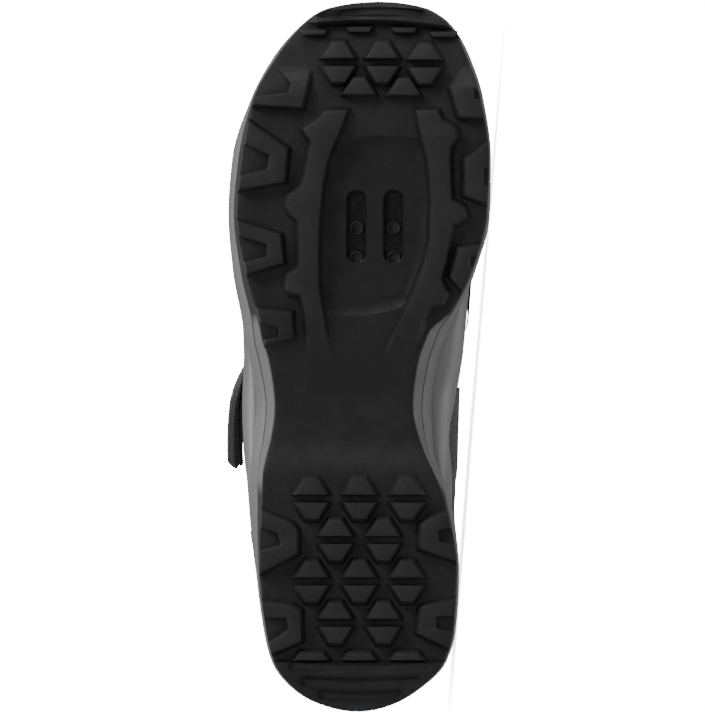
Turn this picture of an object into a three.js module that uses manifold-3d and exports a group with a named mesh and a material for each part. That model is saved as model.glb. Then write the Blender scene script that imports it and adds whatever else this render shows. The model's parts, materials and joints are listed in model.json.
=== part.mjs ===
// Right cycling shoe with a two-bolt cleat recess, lying on its inner side as on a floor.
// Each piece is drawn in the shoe's own frame: x from heel to toe, y towards the inner side, z up from
// the ground.
// The finished shoe is then laid on the face of its hull that carries its centre of mass.
import * as THREE from 'three';
import { mergeVertices } from 'three/addons/utils/BufferGeometryUtils.js';
import { ConvexHull } from 'three/addons/math/ConvexHull.js';
import Module from 'manifold-3d';

const wasm = await Module();
wasm.setup();

// Driving dimensions in millimetres
const LENGTH = 268;
const BALL_WIDTH = 98.7;
const HEEL_STACK = 29;
const INSTEP_HEIGHT = 92;
const LUG_DEPTH = 4.5;
const GAP = 0.3;

// Tread
const RECESS_DEPTH = 2;
const NOTCH_DEPTH = 3;
const PAIR_WIDTH = 12.1;
const PAIR_TIP = 4.6;
const PAIR_HALF_LENGTH = 6;
const PAIR_GROOVE = 3;
const HEEL_PITCH_ALONG = 15.6;
const HEEL_PITCH_ACROSS = 18;
const HEEL_ROWS = 4;
const BAR_WIDTH = 9.3;
const BAR_LENGTH = 2.1;
const PAD_GROOVE_DEPTH = 3.15;
const HALF_PAIR_TIP = 8.5;

// Cleat fastening
const BOLT_PITCH = 14;
const BOLT_ROWS_APART = 11.3;
const THREAD_BORE = 5;
const SLOT_WIDTH = 7;
const SLOT_LENGTH = 27.2;
const PLATE_THICKNESS = 2.5;
const PLATE_MARGIN = 6;

// Upper and what is in it
const WALL = 2.4;
const OVERLAY = 0.9;
const CUFF_STEP = 2.2;
const CUFF_DEPTH = 17;
const FEATHER_INSET = 1;
const GROOVE_INSET = 0.9;
const BAND_BULGE = 0.6;
const THROAT_FRONT_WIDTH = 26;
const THROAT_REAR_WIDTH = 38;
const TONGUE_THICKNESS = 5;
const TONGUE_FRONT_WIDTH = 34;
const TONGUE_REAR_WIDTH = 50;
const FIT = 0.4;
const INSOLE_THICKNESS = 4;

// Straps
const STRAP_THICKNESS = 2.3;
const INSTEP_STRAP_WIDTH = 27;
const FOREFOOT_STRAP_WIDTH = 24;
const STRAP_LEAN = 38;
const FREE_END_THICKNESS = 4.9;

// How finely the forms are drawn
const STATIONS = 34;
const FIRST_STATION = 0.012;
const LOWER_STEPS = 2;
const UPPER_STEPS = 8;

// Sole outline: at is the share of LENGTH from the heel, the rest are shares of BALL_WIDTH from the middle.
// Out is the outer (lateral) side and In the inner (medial) side, at the tread and at the feather edge.
const OUTLINE = [
  { at: 0.0, treadOut: -0.015, treadIn: -0.015, featherOut: -0.015, featherIn: -0.015 },
  { at: 0.03, treadOut: -0.248, treadIn: 0.205, featherOut: -0.256, featherIn: 0.214 },
  { at: 0.07, treadOut: -0.335, treadIn: 0.312, featherOut: -0.342, featherIn: 0.32 },
  { at: 0.115, treadOut: -0.365, treadIn: 0.348, featherOut: -0.374, featherIn: 0.355 },
  { at: 0.2, treadOut: -0.391, treadIn: 0.362, featherOut: -0.404, featherIn: 0.368 },
  { at: 0.3, treadOut: -0.38, treadIn: 0.313, featherOut: -0.43, featherIn: 0.335 },
  { at: 0.37, treadOut: -0.352, treadIn: 0.232, featherOut: -0.418, featherIn: 0.27 },
  { at: 0.43, treadOut: -0.331, treadIn: 0.193, featherOut: -0.4, featherIn: 0.262 },
  { at: 0.5, treadOut: -0.354, treadIn: 0.214, featherOut: -0.43, featherIn: 0.292 },
  { at: 0.535, treadOut: -0.378, treadIn: 0.248, featherOut: -0.45, featherIn: 0.33 },
  { at: 0.56, treadOut: -0.394, treadIn: 0.327, featherOut: -0.462, featherIn: 0.36 },
  { at: 0.62, treadOut: -0.441, treadIn: 0.417, featherOut: -0.492, featherIn: 0.43 },
  { at: 0.7, treadOut: -0.476, treadIn: 0.475, featherOut: -0.509, featherIn: 0.486 },
  { at: 0.78, treadOut: -0.454, treadIn: 0.484, featherOut: -0.494, featherIn: 0.489 },
  { at: 0.86, treadOut: -0.415, treadIn: 0.452, featherOut: -0.425, featherIn: 0.463 },
  { at: 0.92, treadOut: -0.323, treadIn: 0.397, featherOut: -0.34, featherIn: 0.413 },
  { at: 0.965, treadOut: -0.228, treadIn: 0.334, featherOut: -0.236, featherIn: 0.344 },
  { at: 0.99, treadOut: -0.13, treadIn: 0.24, featherOut: -0.135, featherIn: 0.252 },
  { at: 1.0, treadOut: 0.069, treadIn: 0.069, featherOut: 0.069, featherIn: 0.069 },
];

// Side profile of the sole: heights above the ground as shares of HEEL_STACK, lug as a share of LUG_DEPTH.
// Tread is the face of the lugs, split the top of the outsole, feather the top of the midsole.
// The lugs run out into the smooth waist, which is the arch.
const PROFILE = [
  { at: 0.0, tread: 0.16, lug: 1, split: 0.55, feather: 1.02 },
  { at: 0.045, tread: 0.03, lug: 1, split: 0.49, feather: 1.0 },
  { at: 0.08, tread: 0.0, lug: 1, split: 0.47, feather: 1.0 },
  { at: 0.3, tread: 0.0, lug: 1, split: 0.47, feather: 0.98 },
  { at: 0.335, tread: 0.0, lug: 1, split: 0.48, feather: 0.97 },
  { at: 0.385, tread: 0.28, lug: 0.1, split: 0.53, feather: 0.95 },
  { at: 0.43, tread: 0.3, lug: 0.07, split: 0.57, feather: 0.93 },
  { at: 0.49, tread: 0.24, lug: 0.1, split: 0.52, feather: 0.85 },
  { at: 0.515, tread: 0.16, lug: 0.35, split: 0.49, feather: 0.81 },
  { at: 0.56, tread: 0.02, lug: 0.95, split: 0.43, feather: 0.76 },
  { at: 0.6, tread: 0.0, lug: 1, split: 0.39, feather: 0.72 },
  { at: 0.7, tread: 0.0, lug: 1, split: 0.36, feather: 0.67 },
  { at: 0.8, tread: 0.0, lug: 1, split: 0.38, feather: 0.69 },
  { at: 0.86, tread: 0.06, lug: 1, split: 0.44, feather: 0.74 },
  { at: 0.92, tread: 0.17, lug: 1, split: 0.56, feather: 0.84 },
  { at: 0.965, tread: 0.32, lug: 1, split: 0.7, feather: 0.96 },
  { at: 1.0, tread: 0.5, lug: 1, split: 0.84, feather: 1.07 },
];

// Last: bulge and ridge places are shares of BALL_WIDTH, rise and height shares of INSTEP_HEIGHT above the
// feather edge. Full is the power of the section's curve: 2 is an ellipse, more is squarer.
const LAST = [
  { at: 0.0, out: -0.015, in: -0.015, ridge: -0.015, rise: 0.17, height: 1.0, full: 2.6 },
  { at: 0.03, out: -0.25, in: 0.207, ridge: -0.015, rise: 0.17, height: 1.0, full: 2.6 },
  { at: 0.07, out: -0.33, in: 0.304, ridge: -0.014, rise: 0.17, height: 1.0, full: 2.5 },
  { at: 0.115, out: -0.365, in: 0.336, ridge: -0.013, rise: 0.17, height: 1.0, full: 2.5 },
  { at: 0.2, out: -0.398, in: 0.356, ridge: -0.012, rise: 0.17, height: 1.0, full: 2.5 },
  { at: 0.3, out: -0.433, in: 0.345, ridge: -0.01, rise: 0.17, height: 1.0, full: 2.5 },
  { at: 0.37, out: -0.455, in: 0.349, ridge: 0.0, rise: 0.17, height: 0.98, full: 2.5 },
  { at: 0.43, out: -0.46, in: 0.355, ridge: 0.01, rise: 0.17, height: 0.91, full: 2.3 },
  { at: 0.5, out: -0.454, in: 0.387, ridge: 0.025, rise: 0.15, height: 0.79, full: 2.1 },
  { at: 0.56, out: -0.461, in: 0.402, ridge: 0.04, rise: 0.13, height: 0.695, full: 2.0 },
  { at: 0.62, out: -0.488, in: 0.417, ridge: 0.04, rise: 0.11, height: 0.61, full: 2.0 },
  { at: 0.7, out: -0.499, in: 0.462, ridge: 0.04, rise: 0.09, height: 0.51, full: 2.1 },
  { at: 0.78, out: -0.484, in: 0.474, ridge: 0.045, rise: 0.08, height: 0.43, full: 2.2 },
  { at: 0.86, out: -0.415, in: 0.45, ridge: 0.055, rise: 0.07, height: 0.36, full: 2.3 },
  { at: 0.92, out: -0.33, in: 0.4, ridge: 0.065, rise: 0.06, height: 0.3, full: 2.3 },
  { at: 0.965, out: -0.226, in: 0.334, ridge: 0.069, rise: 0.05, height: 0.23, full: 2.3 },
  { at: 0.99, out: -0.125, in: 0.242, ridge: 0.069, rise: 0.04, height: 0.15, full: 2.3 },
  { at: 1.0, out: 0.069, in: 0.069, ridge: 0.069, rise: 0.03, height: 0.07, full: 2.3 },
];

// Back of the heel: how far the wall leans forward, as shares of LENGTH, by share of INSTEP_HEIGHT
const HEEL_CURVE = [
  { at: 0.0, lean: 0.012 },
  { at: 0.2, lean: 0.002 },
  { at: 0.5, lean: 0.012 },
  { at: 0.75, lean: 0.03 },
  { at: 1.0, lean: 0.034 },
];
const HEEL_CURVE_REACH = 0.3;

// Top line of the collar: at is a share of LENGTH, up of INSTEP_HEIGHT above the ground
const TOP_LINE = [
  { at: -0.05, up: 1.08 },
  { at: 0.03, up: 1.05 },
  { at: 0.1, up: 0.98 },
  { at: 0.21, up: 0.88 },
  { at: 0.31, up: 0.94 },
  { at: 0.38, up: 1.09 },
  { at: 0.44, up: 1.27 },
];

// Cleat rails: at is a share of LENGTH, the rest shares of BALL_WIDTH
const RAILS = [
  { at: 0.845, outInner: -0.058, outOuter: -0.142, inInner: 0.207, inOuter: 0.288 },
  { at: 0.812, outInner: -0.092, outOuter: -0.192, inInner: 0.226, inOuter: 0.325 },
  { at: 0.77, outInner: -0.138, outOuter: -0.211, inInner: 0.254, inOuter: 0.333 },
  { at: 0.721, outInner: -0.157, outOuter: -0.234, inInner: 0.264, inOuter: 0.339 },
  { at: 0.664, outInner: -0.168, outOuter: -0.241, inInner: 0.258, inOuter: 0.333 },
  { at: 0.608, outInner: -0.168, outOuter: -0.237, inInner: 0.215, inOuter: 0.299 },
  { at: 0.551, outInner: -0.146, outOuter: -0.213, inInner: 0.149, inOuter: 0.23 },
  { at: 0.498, outInner: -0.123, outOuter: -0.196, inInner: 0.088, inOuter: 0.176 },
];

// Wings of the rails: front and rear are shares of LENGTH, root and reach shares of BALL_WIDTH
const WINGS = [
  { front: 0.834, rear: 0.801, root: -0.16, reach: -0.23 },
  { front: 0.733, rear: 0.694, root: -0.2, reach: -0.286 },
  { front: 0.627, rear: 0.59, root: -0.2, reach: -0.286 },
  { front: 0.834, rear: 0.791, root: 0.28, reach: 0.36 },
  { front: 0.721, rear: 0.684, root: 0.29, reach: 0.391 },
  { front: 0.608, rear: 0.571, root: 0.22, reach: 0.322 },
];

// Lugs along the edge: places along the shoe are shares of LENGTH, depths shares of BALL_WIDTH.
// Front and rear are where the lug meets the edge, the others its inner corners and its notch.
const EDGE_LUGS = [
  { front: 0.95, frontAt: 0.944, frontIn: -0.232, rearAt: 0.851, rearIn: -0.228, rear: 0.853,
    notchFront: 0.908, notchIn: -0.275, notchRear: 0.866 },
  { front: 0.831, frontAt: 0.791, frontIn: -0.288, rearAt: 0.746, rearIn: -0.299, rear: 0.735,
    notchFront: 0.801, notchIn: -0.354, notchRear: 0.754 },
  { front: 0.69, frontAt: 0.671, frontIn: -0.312, rearAt: 0.632, rearIn: -0.303, rear: 0.619,
    notchFront: 0.672, notchIn: -0.36, notchRear: 0.632 },
  { front: 0.567, frontAt: 0.561, frontIn: -0.274, rearAt: 0.526, rearIn: -0.264, rear: 0.522,
    notchFront: 0.549, notchIn: -0.314, notchRear: 0.527 },
  { front: 0.94, frontAt: 0.934, frontIn: 0.315, rearAt: 0.838, rearIn: 0.372, rear: 0.836,
    notchFront: 0.876, notchIn: 0.429, notchRear: 0.86 },
  { front: 0.801, frontAt: 0.777, frontIn: 0.394, rearAt: 0.726, rearIn: 0.394, rear: 0.715,
    notchFront: 0.77, notchIn: 0.455, notchRear: 0.739 },
  { front: 0.654, frontAt: 0.653, frontIn: 0.372, rearAt: 0.611, rearIn: 0.34, rear: 0.594,
    notchFront: 0.643, notchIn: 0.4, notchRear: 0.622 },
  { front: 0.282, frontAt: 0.261, frontIn: -0.252, rearAt: 0.22, rearIn: -0.249, rear: 0.197,
    notchFront: 0.258, notchIn: -0.312, notchRear: 0.227 },
  { front: 0.154, frontAt: 0.147, frontIn: -0.24, rearAt: 0.1, rearIn: -0.234, rear: 0.086,
    notchFront: 0.132, notchIn: -0.282, notchRear: 0.1 },
  { front: 0.282, frontAt: 0.266, frontIn: 0.226, rearAt: 0.23, rearIn: 0.222, rear: 0.213,
    notchFront: 0.258, notchIn: 0.292, notchRear: 0.237 },
  { front: 0.157, frontAt: 0.149, frontIn: 0.241, rearAt: 0.103, rearIn: 0.211, rear: 0.09,
    notchFront: 0.135, notchIn: 0.285, notchRear: 0.114 },
];

// Hexagon pairs and half pairs of the forefoot, and the short bars in front of them
const FORE_PAIRS = [
  { at: 0.914, across: -0.09 },
  { at: 0.914, across: 0.077 },
  { at: 0.912, across: 0.239 },
];
const FORE_HALVES = [
  { at: 0.869, across: -0.011 },
  { at: 0.868, across: 0.159 },
];
const TOE_BARS = [
  { at: 0.953, across: -0.182 },
  { at: 0.957, across: -0.011 },
  { at: 0.956, across: 0.161 },
  { at: 0.95, across: 0.308 },
];

// Grooves of the toe and heel pads: front and rear are shares of LENGTH, out and in shares of BALL_WIDTH
const PAD_GROOVES = [
  { front: 0.989, rear: 0.983, out: -0.09, in: 0.235 },
  { front: 0.974, rear: 0.963, out: -0.175, in: 0.335 },
  { front: 0.069, rear: 0.058, out: -0.275, in: 0.265 },
  { front: 0.047, rear: 0.035, out: -0.23, in: 0.215 },
  { front: 0.028, rear: 0.018, out: -0.165, in: 0.145 },
];
const TOE_PAD_AT = 0.963;
const HEEL_PAD_AT = 0.069;

const HEEL_FIRST_PAIR = 0.3;
const HEEL_MIDDLE = -0.01;
const RECESS_FRONT = 0.805;
const RECESS_REAR = 0.558;
const RECESS_ROUND = 0.06;
const CLEAT_AT = 0.683;
const CLEAT_ACROSS = 0.049;
const BOLTS_AT = 0.66;

// How far outside the sole the edge lugs and the pads are drawn before the sole trims them, as shares of
// BALL_WIDTH and of LENGTH
const EDGE_OVERRUN = 0.7;
const END_OVERRUN = 0.1;

// Half widths in millimetres that the rings keep at the tips of the sole and along the last's ridge
const SOLE_TIP_HALF = 0.4;
const RIDGE_HALF = 0.3;

const stationOf = (share) => Math.acos(1 - 2 * THREE.MathUtils.clamp(share, 0, 1)) / Math.PI;
const shareOf = (station) => (1 - Math.cos(Math.PI * station)) / 2;

// Smooth curve through a table's column that never overshoots its rows
function curve(table, column, place = (row) => stationOf(row.at)) {
  const xs = table.map(place);
  const ys = table.map((row) => row[column]);
  const slopes = xs.slice(1).map((x, i) => (ys[i + 1] - ys[i]) / (x - xs[i]));
  const tangents = xs.map((x, i) => {
    if (i === 0) return slopes[0];
    if (i === xs.length - 1) return slopes[i - 1];
    const before = slopes[i - 1];
    const after = slopes[i];
    return before * after <= 0 ? 0 : (2 * before * after) / (before + after);
  });
  return (x) => {
    let i = 0;
    while (i < xs.length - 2 && x > xs[i + 1]) i += 1;
    const span = xs[i + 1] - xs[i];
    const u = THREE.MathUtils.clamp((x - xs[i]) / span, 0, 1);
    const start = (1 + 2 * u) * (1 - u) * (1 - u);
    const end = u * u * (3 - 2 * u);
    const leave = u * (1 - u) * (1 - u) * span;
    const arrive = u * u * (u - 1) * span;
    return ys[i] * start + ys[i + 1] * end + tangents[i] * leave + tangents[i + 1] * arrive;
  };
}

function columnsOf(table, names) {
  return Object.fromEntries(names.map((name) => [name, curve(table, name)]));
}

const outline = columnsOf(OUTLINE, ['treadOut', 'treadIn', 'featherOut', 'featherIn']);
const profile = columnsOf(PROFILE, ['tread', 'lug', 'split', 'feather']);
const last = columnsOf(LAST, ['out', 'in', 'ridge', 'rise', 'height', 'full']);
const heelCurve = curve(HEEL_CURVE, 'lean', (row) => row.at);

const treadZ = (t) => profile.tread(t) * HEEL_STACK;
const floorZ = (t) => treadZ(t) + LUG_DEPTH * profile.lug(t);
const splitZ = (t) => profile.split(t) * HEEL_STACK;
const featherZ = (t) => profile.feather(t) * HEEL_STACK;

// Solids
function toSolid(geometry) {
  const bare = geometry.index ? geometry.toNonIndexed() : geometry.clone();
  bare.deleteAttribute('normal');
  bare.deleteAttribute('uv');
  const merged = mergeVertices(bare, 1e-4);
  const vertProperties = new Float32Array(merged.attributes.position.array);
  const triVerts = new Uint32Array(merged.index.array);
  return new wasm.Manifold(new wasm.Mesh({ numProp: 3, vertProperties, triVerts }));
}

function toGeometry(solid) {
  const mesh = solid.getMesh();
  const geometry = new THREE.BufferGeometry();
  geometry.setAttribute('position', new THREE.BufferAttribute(new Float32Array(mesh.vertProperties), 3));
  geometry.setIndex(new THREE.BufferAttribute(new Uint32Array(mesh.triVerts), 1));
  return geometry;
}

// Skin over a row of closed rings. Each ring runs up the outer side and down the inner one, so that its
// ends pair off.
function loft(rings) {
  const count = rings[0].length;
  const points = rings.flat();
  const index = [];
  for (let i = 0; i < rings.length - 1; i += 1) {
    for (let k = 0; k < count; k += 1) {
      const a = i * count + k;
      const b = i * count + ((k + 1) % count);
      index.push(a, b + count, b, a, a + count, b + count);
    }
  }
  const capRing = (start, flip) => {
    for (let k = 0; k < count / 2 - 1; k += 1) {
      const [a, b] = [start + k, start + k + 1];
      const [c, d] = [start + count - 1 - k, start + count - 2 - k];
      index.push(...(flip ? [a, b, d, a, d, c] : [a, d, b, a, c, d]));
    }
  };
  capRing(0, true);
  capRing((rings.length - 1) * count, false);
  const geometry = new THREE.BufferGeometry().setFromPoints(points);
  geometry.setIndex(index);
  return toSolid(geometry);
}

// Upright block over an outline of [x, y] corners
function block(corners, low, high) {
  const shape = new THREE.Shape(corners.map(([x, y]) => new THREE.Vector2(x, y)));
  const geometry = new THREE.ExtrudeGeometry(shape, { depth: high - low, bevelEnabled: false });
  geometry.translate(0, 0, low);
  return toSolid(geometry);
}

// Block across the shoe over a side outline of [x, z] corners
function sideBlock(corners, from = -BALL_WIDTH, to = BALL_WIDTH) {
  const shape = new THREE.Shape(corners.map(([x, z]) => new THREE.Vector2(x, z)));
  const geometry = new THREE.ExtrudeGeometry(shape, { depth: to - from, bevelEnabled: false });
  geometry.rotateX(Math.PI / 2);
  geometry.translate(0, to, 0);
  return toSolid(geometry);
}

const join = (solids) => solids.reduce((whole, solid) => whole.add(solid));

function stationsBetween(first, lastOne, count = STATIONS) {
  return Array.from({ length: count + 1 }, (_, i) => first + ((lastOne - first) * i) / count);
}

// Sole
const soleStations = stationsBetween(FIRST_STATION, 1 - FIRST_STATION)
  .concat(PROFILE.slice(4, 10).map((row) => stationOf(row.at)))
  .sort((a, b) => a - b);

// Point on the side of the sole at a height between tread and feather edge
function soleSide(t, side, z, inset) {
  const tread = outline[`tread${side}`](t) * BALL_WIDTH;
  const feather = outline[`feather${side}`](t) * BALL_WIDTH;
  const share = (z - treadZ(t)) / (featherZ(t) - treadZ(t));
  const sign = side === 'Out' ? -1 : 1;
  const middle = (outline.treadOut(t) + outline.treadIn(t)) * 0.5 * BALL_WIDTH;
  const y = THREE.MathUtils.lerp(tread, feather, Math.sqrt(share)) - sign * inset;
  const reach = Math.max(sign * (y - middle), SOLE_TIP_HALF);
  return new THREE.Vector3(LENGTH * shareOf(t), sign * reach + middle, z);
}

function soleSlab(levels) {
  return loft(soleStations.map((t) => [
    ...levels.map((level) => soleSide(t, 'Out', level.z(t), level.inset)),
    ...levels.toReversed().map((level) => soleSide(t, 'In', level.z(t), level.inset)),
  ]));
}

const mixZ = (low, high, share) => (t) => THREE.MathUtils.lerp(low(t), high(t), share);

function trapezoid(x, y, tipWidth, baseWidth, length) {
  return [
    [x, y - baseWidth / 2],
    [x, y + baseWidth / 2],
    [x + length, y + tipWidth / 2],
    [x + length, y - tipWidth / 2],
  ];
}

function hexagonPair(x, y) {
  const start = PAIR_GROOVE / 2;
  return [
    trapezoid(x + start, y, PAIR_TIP, PAIR_WIDTH, PAIR_HALF_LENGTH),
    trapezoid(x - start, y, PAIR_TIP, PAIR_WIDTH, -PAIR_HALF_LENGTH),
  ];
}

function edgeLug(row) {
  const beyond = Math.sign(row.frontIn) * EDGE_OVERRUN;
  return [[row.front, beyond], [row.frontAt, row.frontIn], [row.rearAt, row.rearIn], [row.rear, beyond]];
}

function edgeNotch(row) {
  const beyond = Math.sign(row.frontIn) * EDGE_OVERRUN;
  const tip = (row.notchFront - row.notchRear) / 4;
  return [
    [row.notchFront, beyond],
    [row.notchFront - tip, row.notchIn],
    [row.notchRear + tip, row.notchIn],
    [row.notchRear, beyond],
  ];
}

const inMillimetres = (corners) => corners.map(([at, across]) => [at * LENGTH, across * BALL_WIDTH]);
const band = (row) => [[row.front, row.out], [row.front, row.in], [row.rear, row.in], [row.rear, row.out]];

function railOutline(inner, outer) {
  const steps = stationsBetween(RAILS.at(-1).at, RAILS[0].at, 12);
  const rows = RAILS.toReversed();
  const place = (row) => row.at;
  const innerEdge = curve(rows, inner, place);
  const outerEdge = curve(rows, outer, place);
  return [...steps.map((at) => [at, innerEdge(at)]), ...steps.toReversed().map((at) => [at, outerEdge(at)])];
}

function wing(row) {
  const slope = (row.front - row.rear) / 4;
  return [
    [row.front, row.root],
    [row.front - slope, row.reach],
    [row.rear + slope, row.reach],
    [row.rear, row.root],
  ];
}

function heelPairs() {
  const pairs = [];
  for (let row = 0; row < HEEL_ROWS; row += 1) {
    const across = row % 2 ? [-0.5, 0.5] : [-1, 0, 1];
    for (const place of across) {
      const x = HEEL_FIRST_PAIR * LENGTH - row * HEEL_PITCH_ALONG;
      pairs.push(...hexagonPair(x, HEEL_MIDDLE * BALL_WIDTH + place * HEEL_PITCH_ACROSS));
    }
  }
  const lastRow = HEEL_FIRST_PAIR * LENGTH - HEEL_ROWS * HEEL_PITCH_ALONG + PAIR_GROOVE / 2;
  for (const place of [-1, 0, 1]) {
    const y = HEEL_MIDDLE * BALL_WIDTH + place * HEEL_PITCH_ACROSS;
    pairs.push(trapezoid(lastRow, y, HALF_PAIR_TIP, PAIR_WIDTH, PAIR_GROOVE));
  }
  return pairs;
}

function lugCorners() {
  const place = (row) => [row.at * LENGTH, row.across * BALL_WIDTH];
  const bar = ([x, y]) => trapezoid(x, y, BAR_WIDTH, BAR_WIDTH, BAR_LENGTH);
  const half = ([x, y]) => trapezoid(x, y, PAIR_TIP, PAIR_WIDTH, PAIR_HALF_LENGTH);
  const wide = { out: -EDGE_OVERRUN, in: EDGE_OVERRUN };
  return [
    ...FORE_PAIRS.flatMap((row) => hexagonPair(...place(row))),
    ...FORE_HALVES.map((row) => half(place(row))),
    ...TOE_BARS.map((row) => bar(place(row))),
    ...heelPairs(),
    ...EDGE_LUGS.map((row) => inMillimetres(edgeLug(row))),
    ...WINGS.map((row) => inMillimetres(wing(row))),
    inMillimetres(railOutline('outInner', 'outOuter')),
    inMillimetres(railOutline('inInner', 'inOuter')),
    inMillimetres(band({ front: 1 + END_OVERRUN, rear: TOE_PAD_AT, ...wide })),
    inMillimetres(band({ front: HEEL_PAD_AT, rear: -END_OVERRUN, ...wide })),
  ];
}

// Lug reaching from below the ground into the sole; the sole's own form then trims it
function lug(corners) {
  return block(corners, -LUG_DEPTH, HEEL_STACK);
}

const recessFloorZ = LUG_DEPTH + RECESS_DEPTH;
const cleatX = CLEAT_AT * LENGTH;
const cleatY = CLEAT_ACROSS * BALL_WIDTH;

function slotCorners(y, clearance = 0) {
  const radius = SLOT_WIDTH / 2 + clearance;
  const reach = SLOT_LENGTH / 2 + clearance - radius;
  const corners = [];
  for (let i = 0; i <= 12; i += 1) {
    const angle = -Math.PI / 2 + (Math.PI * i) / 12;
    corners.push([cleatX + reach + radius * Math.cos(angle), y + radius * Math.sin(angle)]);
  }
  return [...corners, ...corners.map(([x, yy]) => [2 * cleatX - x, 2 * y - yy])];
}

const slotPlaces = [cleatY - BOLT_PITCH / 2, cleatY + BOLT_PITCH / 2];

function recessCorners() {
  const rows = RAILS.toReversed();
  const place = (row) => row.at;
  const outer = curve(rows, 'outInner', place);
  const inner = curve(rows, 'inInner', place);
  const steps = stationsBetween(RECESS_REAR, RECESS_FRONT, 8);
  const rear = (RECESS_FRONT - RECESS_REAR) * RECESS_ROUND;
  return inMillimetres([
    ...steps.map((at) => [at, outer(at)]),
    ...steps.toReversed().map((at) => [at, inner(at)]),
    [RECESS_REAR - rear, THREE.MathUtils.lerp(inner(RECESS_REAR), outer(RECESS_REAR), 0.25)],
    [RECESS_REAR - rear, THREE.MathUtils.lerp(inner(RECESS_REAR), outer(RECESS_REAR), 0.75)],
  ]);
}

function makeOutsole() {
  const levels = [mixZ(floorZ, splitZ, 0), mixZ(floorZ, splitZ, 0.5), splitZ];
  const base = soleSlab(levels.map((z) => ({ z, inset: 0 })));
  const full = soleSlab([treadZ, ...levels].map((z) => ({ z, inset: 0 })));
  const lugs = join(lugCorners().map(lug)).intersect(full);
  const notchTop = (row) => treadZ(stationOf((row.notchFront + row.notchRear) / 2)) + NOTCH_DEPTH;
  const notch = (row) => block(inMillimetres(edgeNotch(row)), -LUG_DEPTH, notchTop(row));
  const notches = join(EDGE_LUGS.map(notch));
  const grooves = join(PAD_GROOVES.map((row) => {
    const t = stationOf((row.front + row.rear) / 2);
    return block(inMillimetres(band(row)), -LUG_DEPTH, treadZ(t) + PAD_GROOVE_DEPTH);
  }));
  const recess = block(recessCorners(), -LUG_DEPTH, recessFloorZ);
  const slots = join(slotPlaces.map((y) => block(slotCorners(y), -LUG_DEPTH, HEEL_STACK)));
  return base.add(lugs).subtract(notches).subtract(grooves).subtract(recess).subtract(slots);
}

// Underside of the cleat plate: it clears the top of the outsole all along
function plateLevel() {
  const under = soleStations.filter((t) => Math.abs(shareOf(t) * LENGTH - cleatX) < SLOT_LENGTH);
  return Math.max(...under.map(splitZ)) + GAP;
}

function plateCorners(clearance) {
  const halfLong = SLOT_LENGTH / 2 + PLATE_MARGIN + clearance;
  const halfWide = BOLT_PITCH / 2 + SLOT_WIDTH / 2 + PLATE_MARGIN + clearance;
  const cut = PLATE_MARGIN / 2;
  const quarter = [[halfLong, halfWide - cut], [halfLong - cut, halfWide]];
  return [
    ...quarter,
    ...quarter.toReversed().map(([x, y]) => [-x, y]),
    ...quarter.map(([x, y]) => [-x, -y]),
    ...quarter.toReversed().map(([x, y]) => [x, -y]),
  ].map(([x, y]) => [cleatX + x, cleatY + y]);
}

function makeMidsole() {
  const low = (t) => splitZ(t) + GAP;
  const slab = soleSlab([
    { z: low, inset: GROOVE_INSET },
    { z: mixZ(low, featherZ, 0.12), inset: 0 },
    { z: mixZ(low, featherZ, 0.55), inset: -BAND_BULGE },
    { z: featherZ, inset: 0 },
  ]);
  return slab.subtract(block(plateCorners(GAP), -LUG_DEPTH, plateLevel() + PLATE_THICKNESS + GAP));
}

function bolt(x, y) {
  const geometry = new THREE.CylinderGeometry(THREAD_BORE / 2, THREAD_BORE / 2, HEEL_STACK, 20);
  geometry.rotateX(Math.PI / 2);
  geometry.translate(x, y, plateLevel());
  return toSolid(geometry);
}

function makeCleatPlate() {
  const low = plateLevel();
  const plate = block(plateCorners(0), low, low + PLATE_THICKNESS);
  const rows = [-BOLT_ROWS_APART / 2, BOLT_ROWS_APART / 2];
  const bolts = rows.flatMap((along) => slotPlaces.map((y) => bolt(BOLTS_AT * LENGTH + along, y)));
  return plate.subtract(join(bolts));
}

// Upper
// One side of the last's section from the feather edge up to the ridge; grow is how far outside it runs
function lastSide(t, side, grow, foot) {
  const sign = side === 'Out' ? -1 : 1;
  const ridge = last.ridge(t) * BALL_WIDTH;
  const feather = sign * (outline[`feather${side}`](t) * BALL_WIDTH - ridge) - FEATHER_INSET + grow;
  const bulge = sign * (last[side.toLowerCase()](t) * BALL_WIDTH - ridge) + grow;
  const low = featherZ(t) + GAP;
  const mid = low + last.rise(t) * INSTEP_HEIGHT;
  const top = low + last.height(t) * INSTEP_HEIGHT + grow;
  const power = 2 / last.full(t);
  const points = [];
  const add = (y, z) => {
    const fade = Math.max(0, 1 - shareOf(t) / HEEL_CURVE_REACH);
    const lean = heelCurve((z - low) / INSTEP_HEIGHT) * LENGTH * fade * fade;
    points.push(new THREE.Vector3(LENGTH * shareOf(t) + lean, ridge + sign * Math.max(y, RIDGE_HALF), z));
  };
  if (foot > 0) add(feather, low - foot);
  for (let i = 0; i < LOWER_STEPS; i += 1) {
    const angle = (Math.PI / 2) * (i / LOWER_STEPS);
    add(feather + (bulge - feather) * Math.sin(angle), low + (mid - low) * (1 - Math.cos(angle)));
  }
  for (let i = 0; i < UPPER_STEPS; i += 1) {
    const angle = (Math.PI / 2) * (i / UPPER_STEPS);
    add(bulge * Math.cos(angle) ** power, mid + (top - mid) * Math.sin(angle) ** power);
  }
  add(0, top);
  return points;
}

// Solid inside the last's skin moved outwards by grow, its ends moved along with it
function lastSolid(grow, foot = 0) {
  const first = stationOf((FIRST_STATION ** 2 * LENGTH * 2 - Math.min(grow, 0)) / LENGTH);
  const stations = stationsBetween(first, 1 - first);
  return loft(stations.map((t) => [
    ...lastSide(t, 'Out', grow, foot),
    ...lastSide(t, 'In', grow, foot).toReversed(),
  ]));
}

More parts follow.
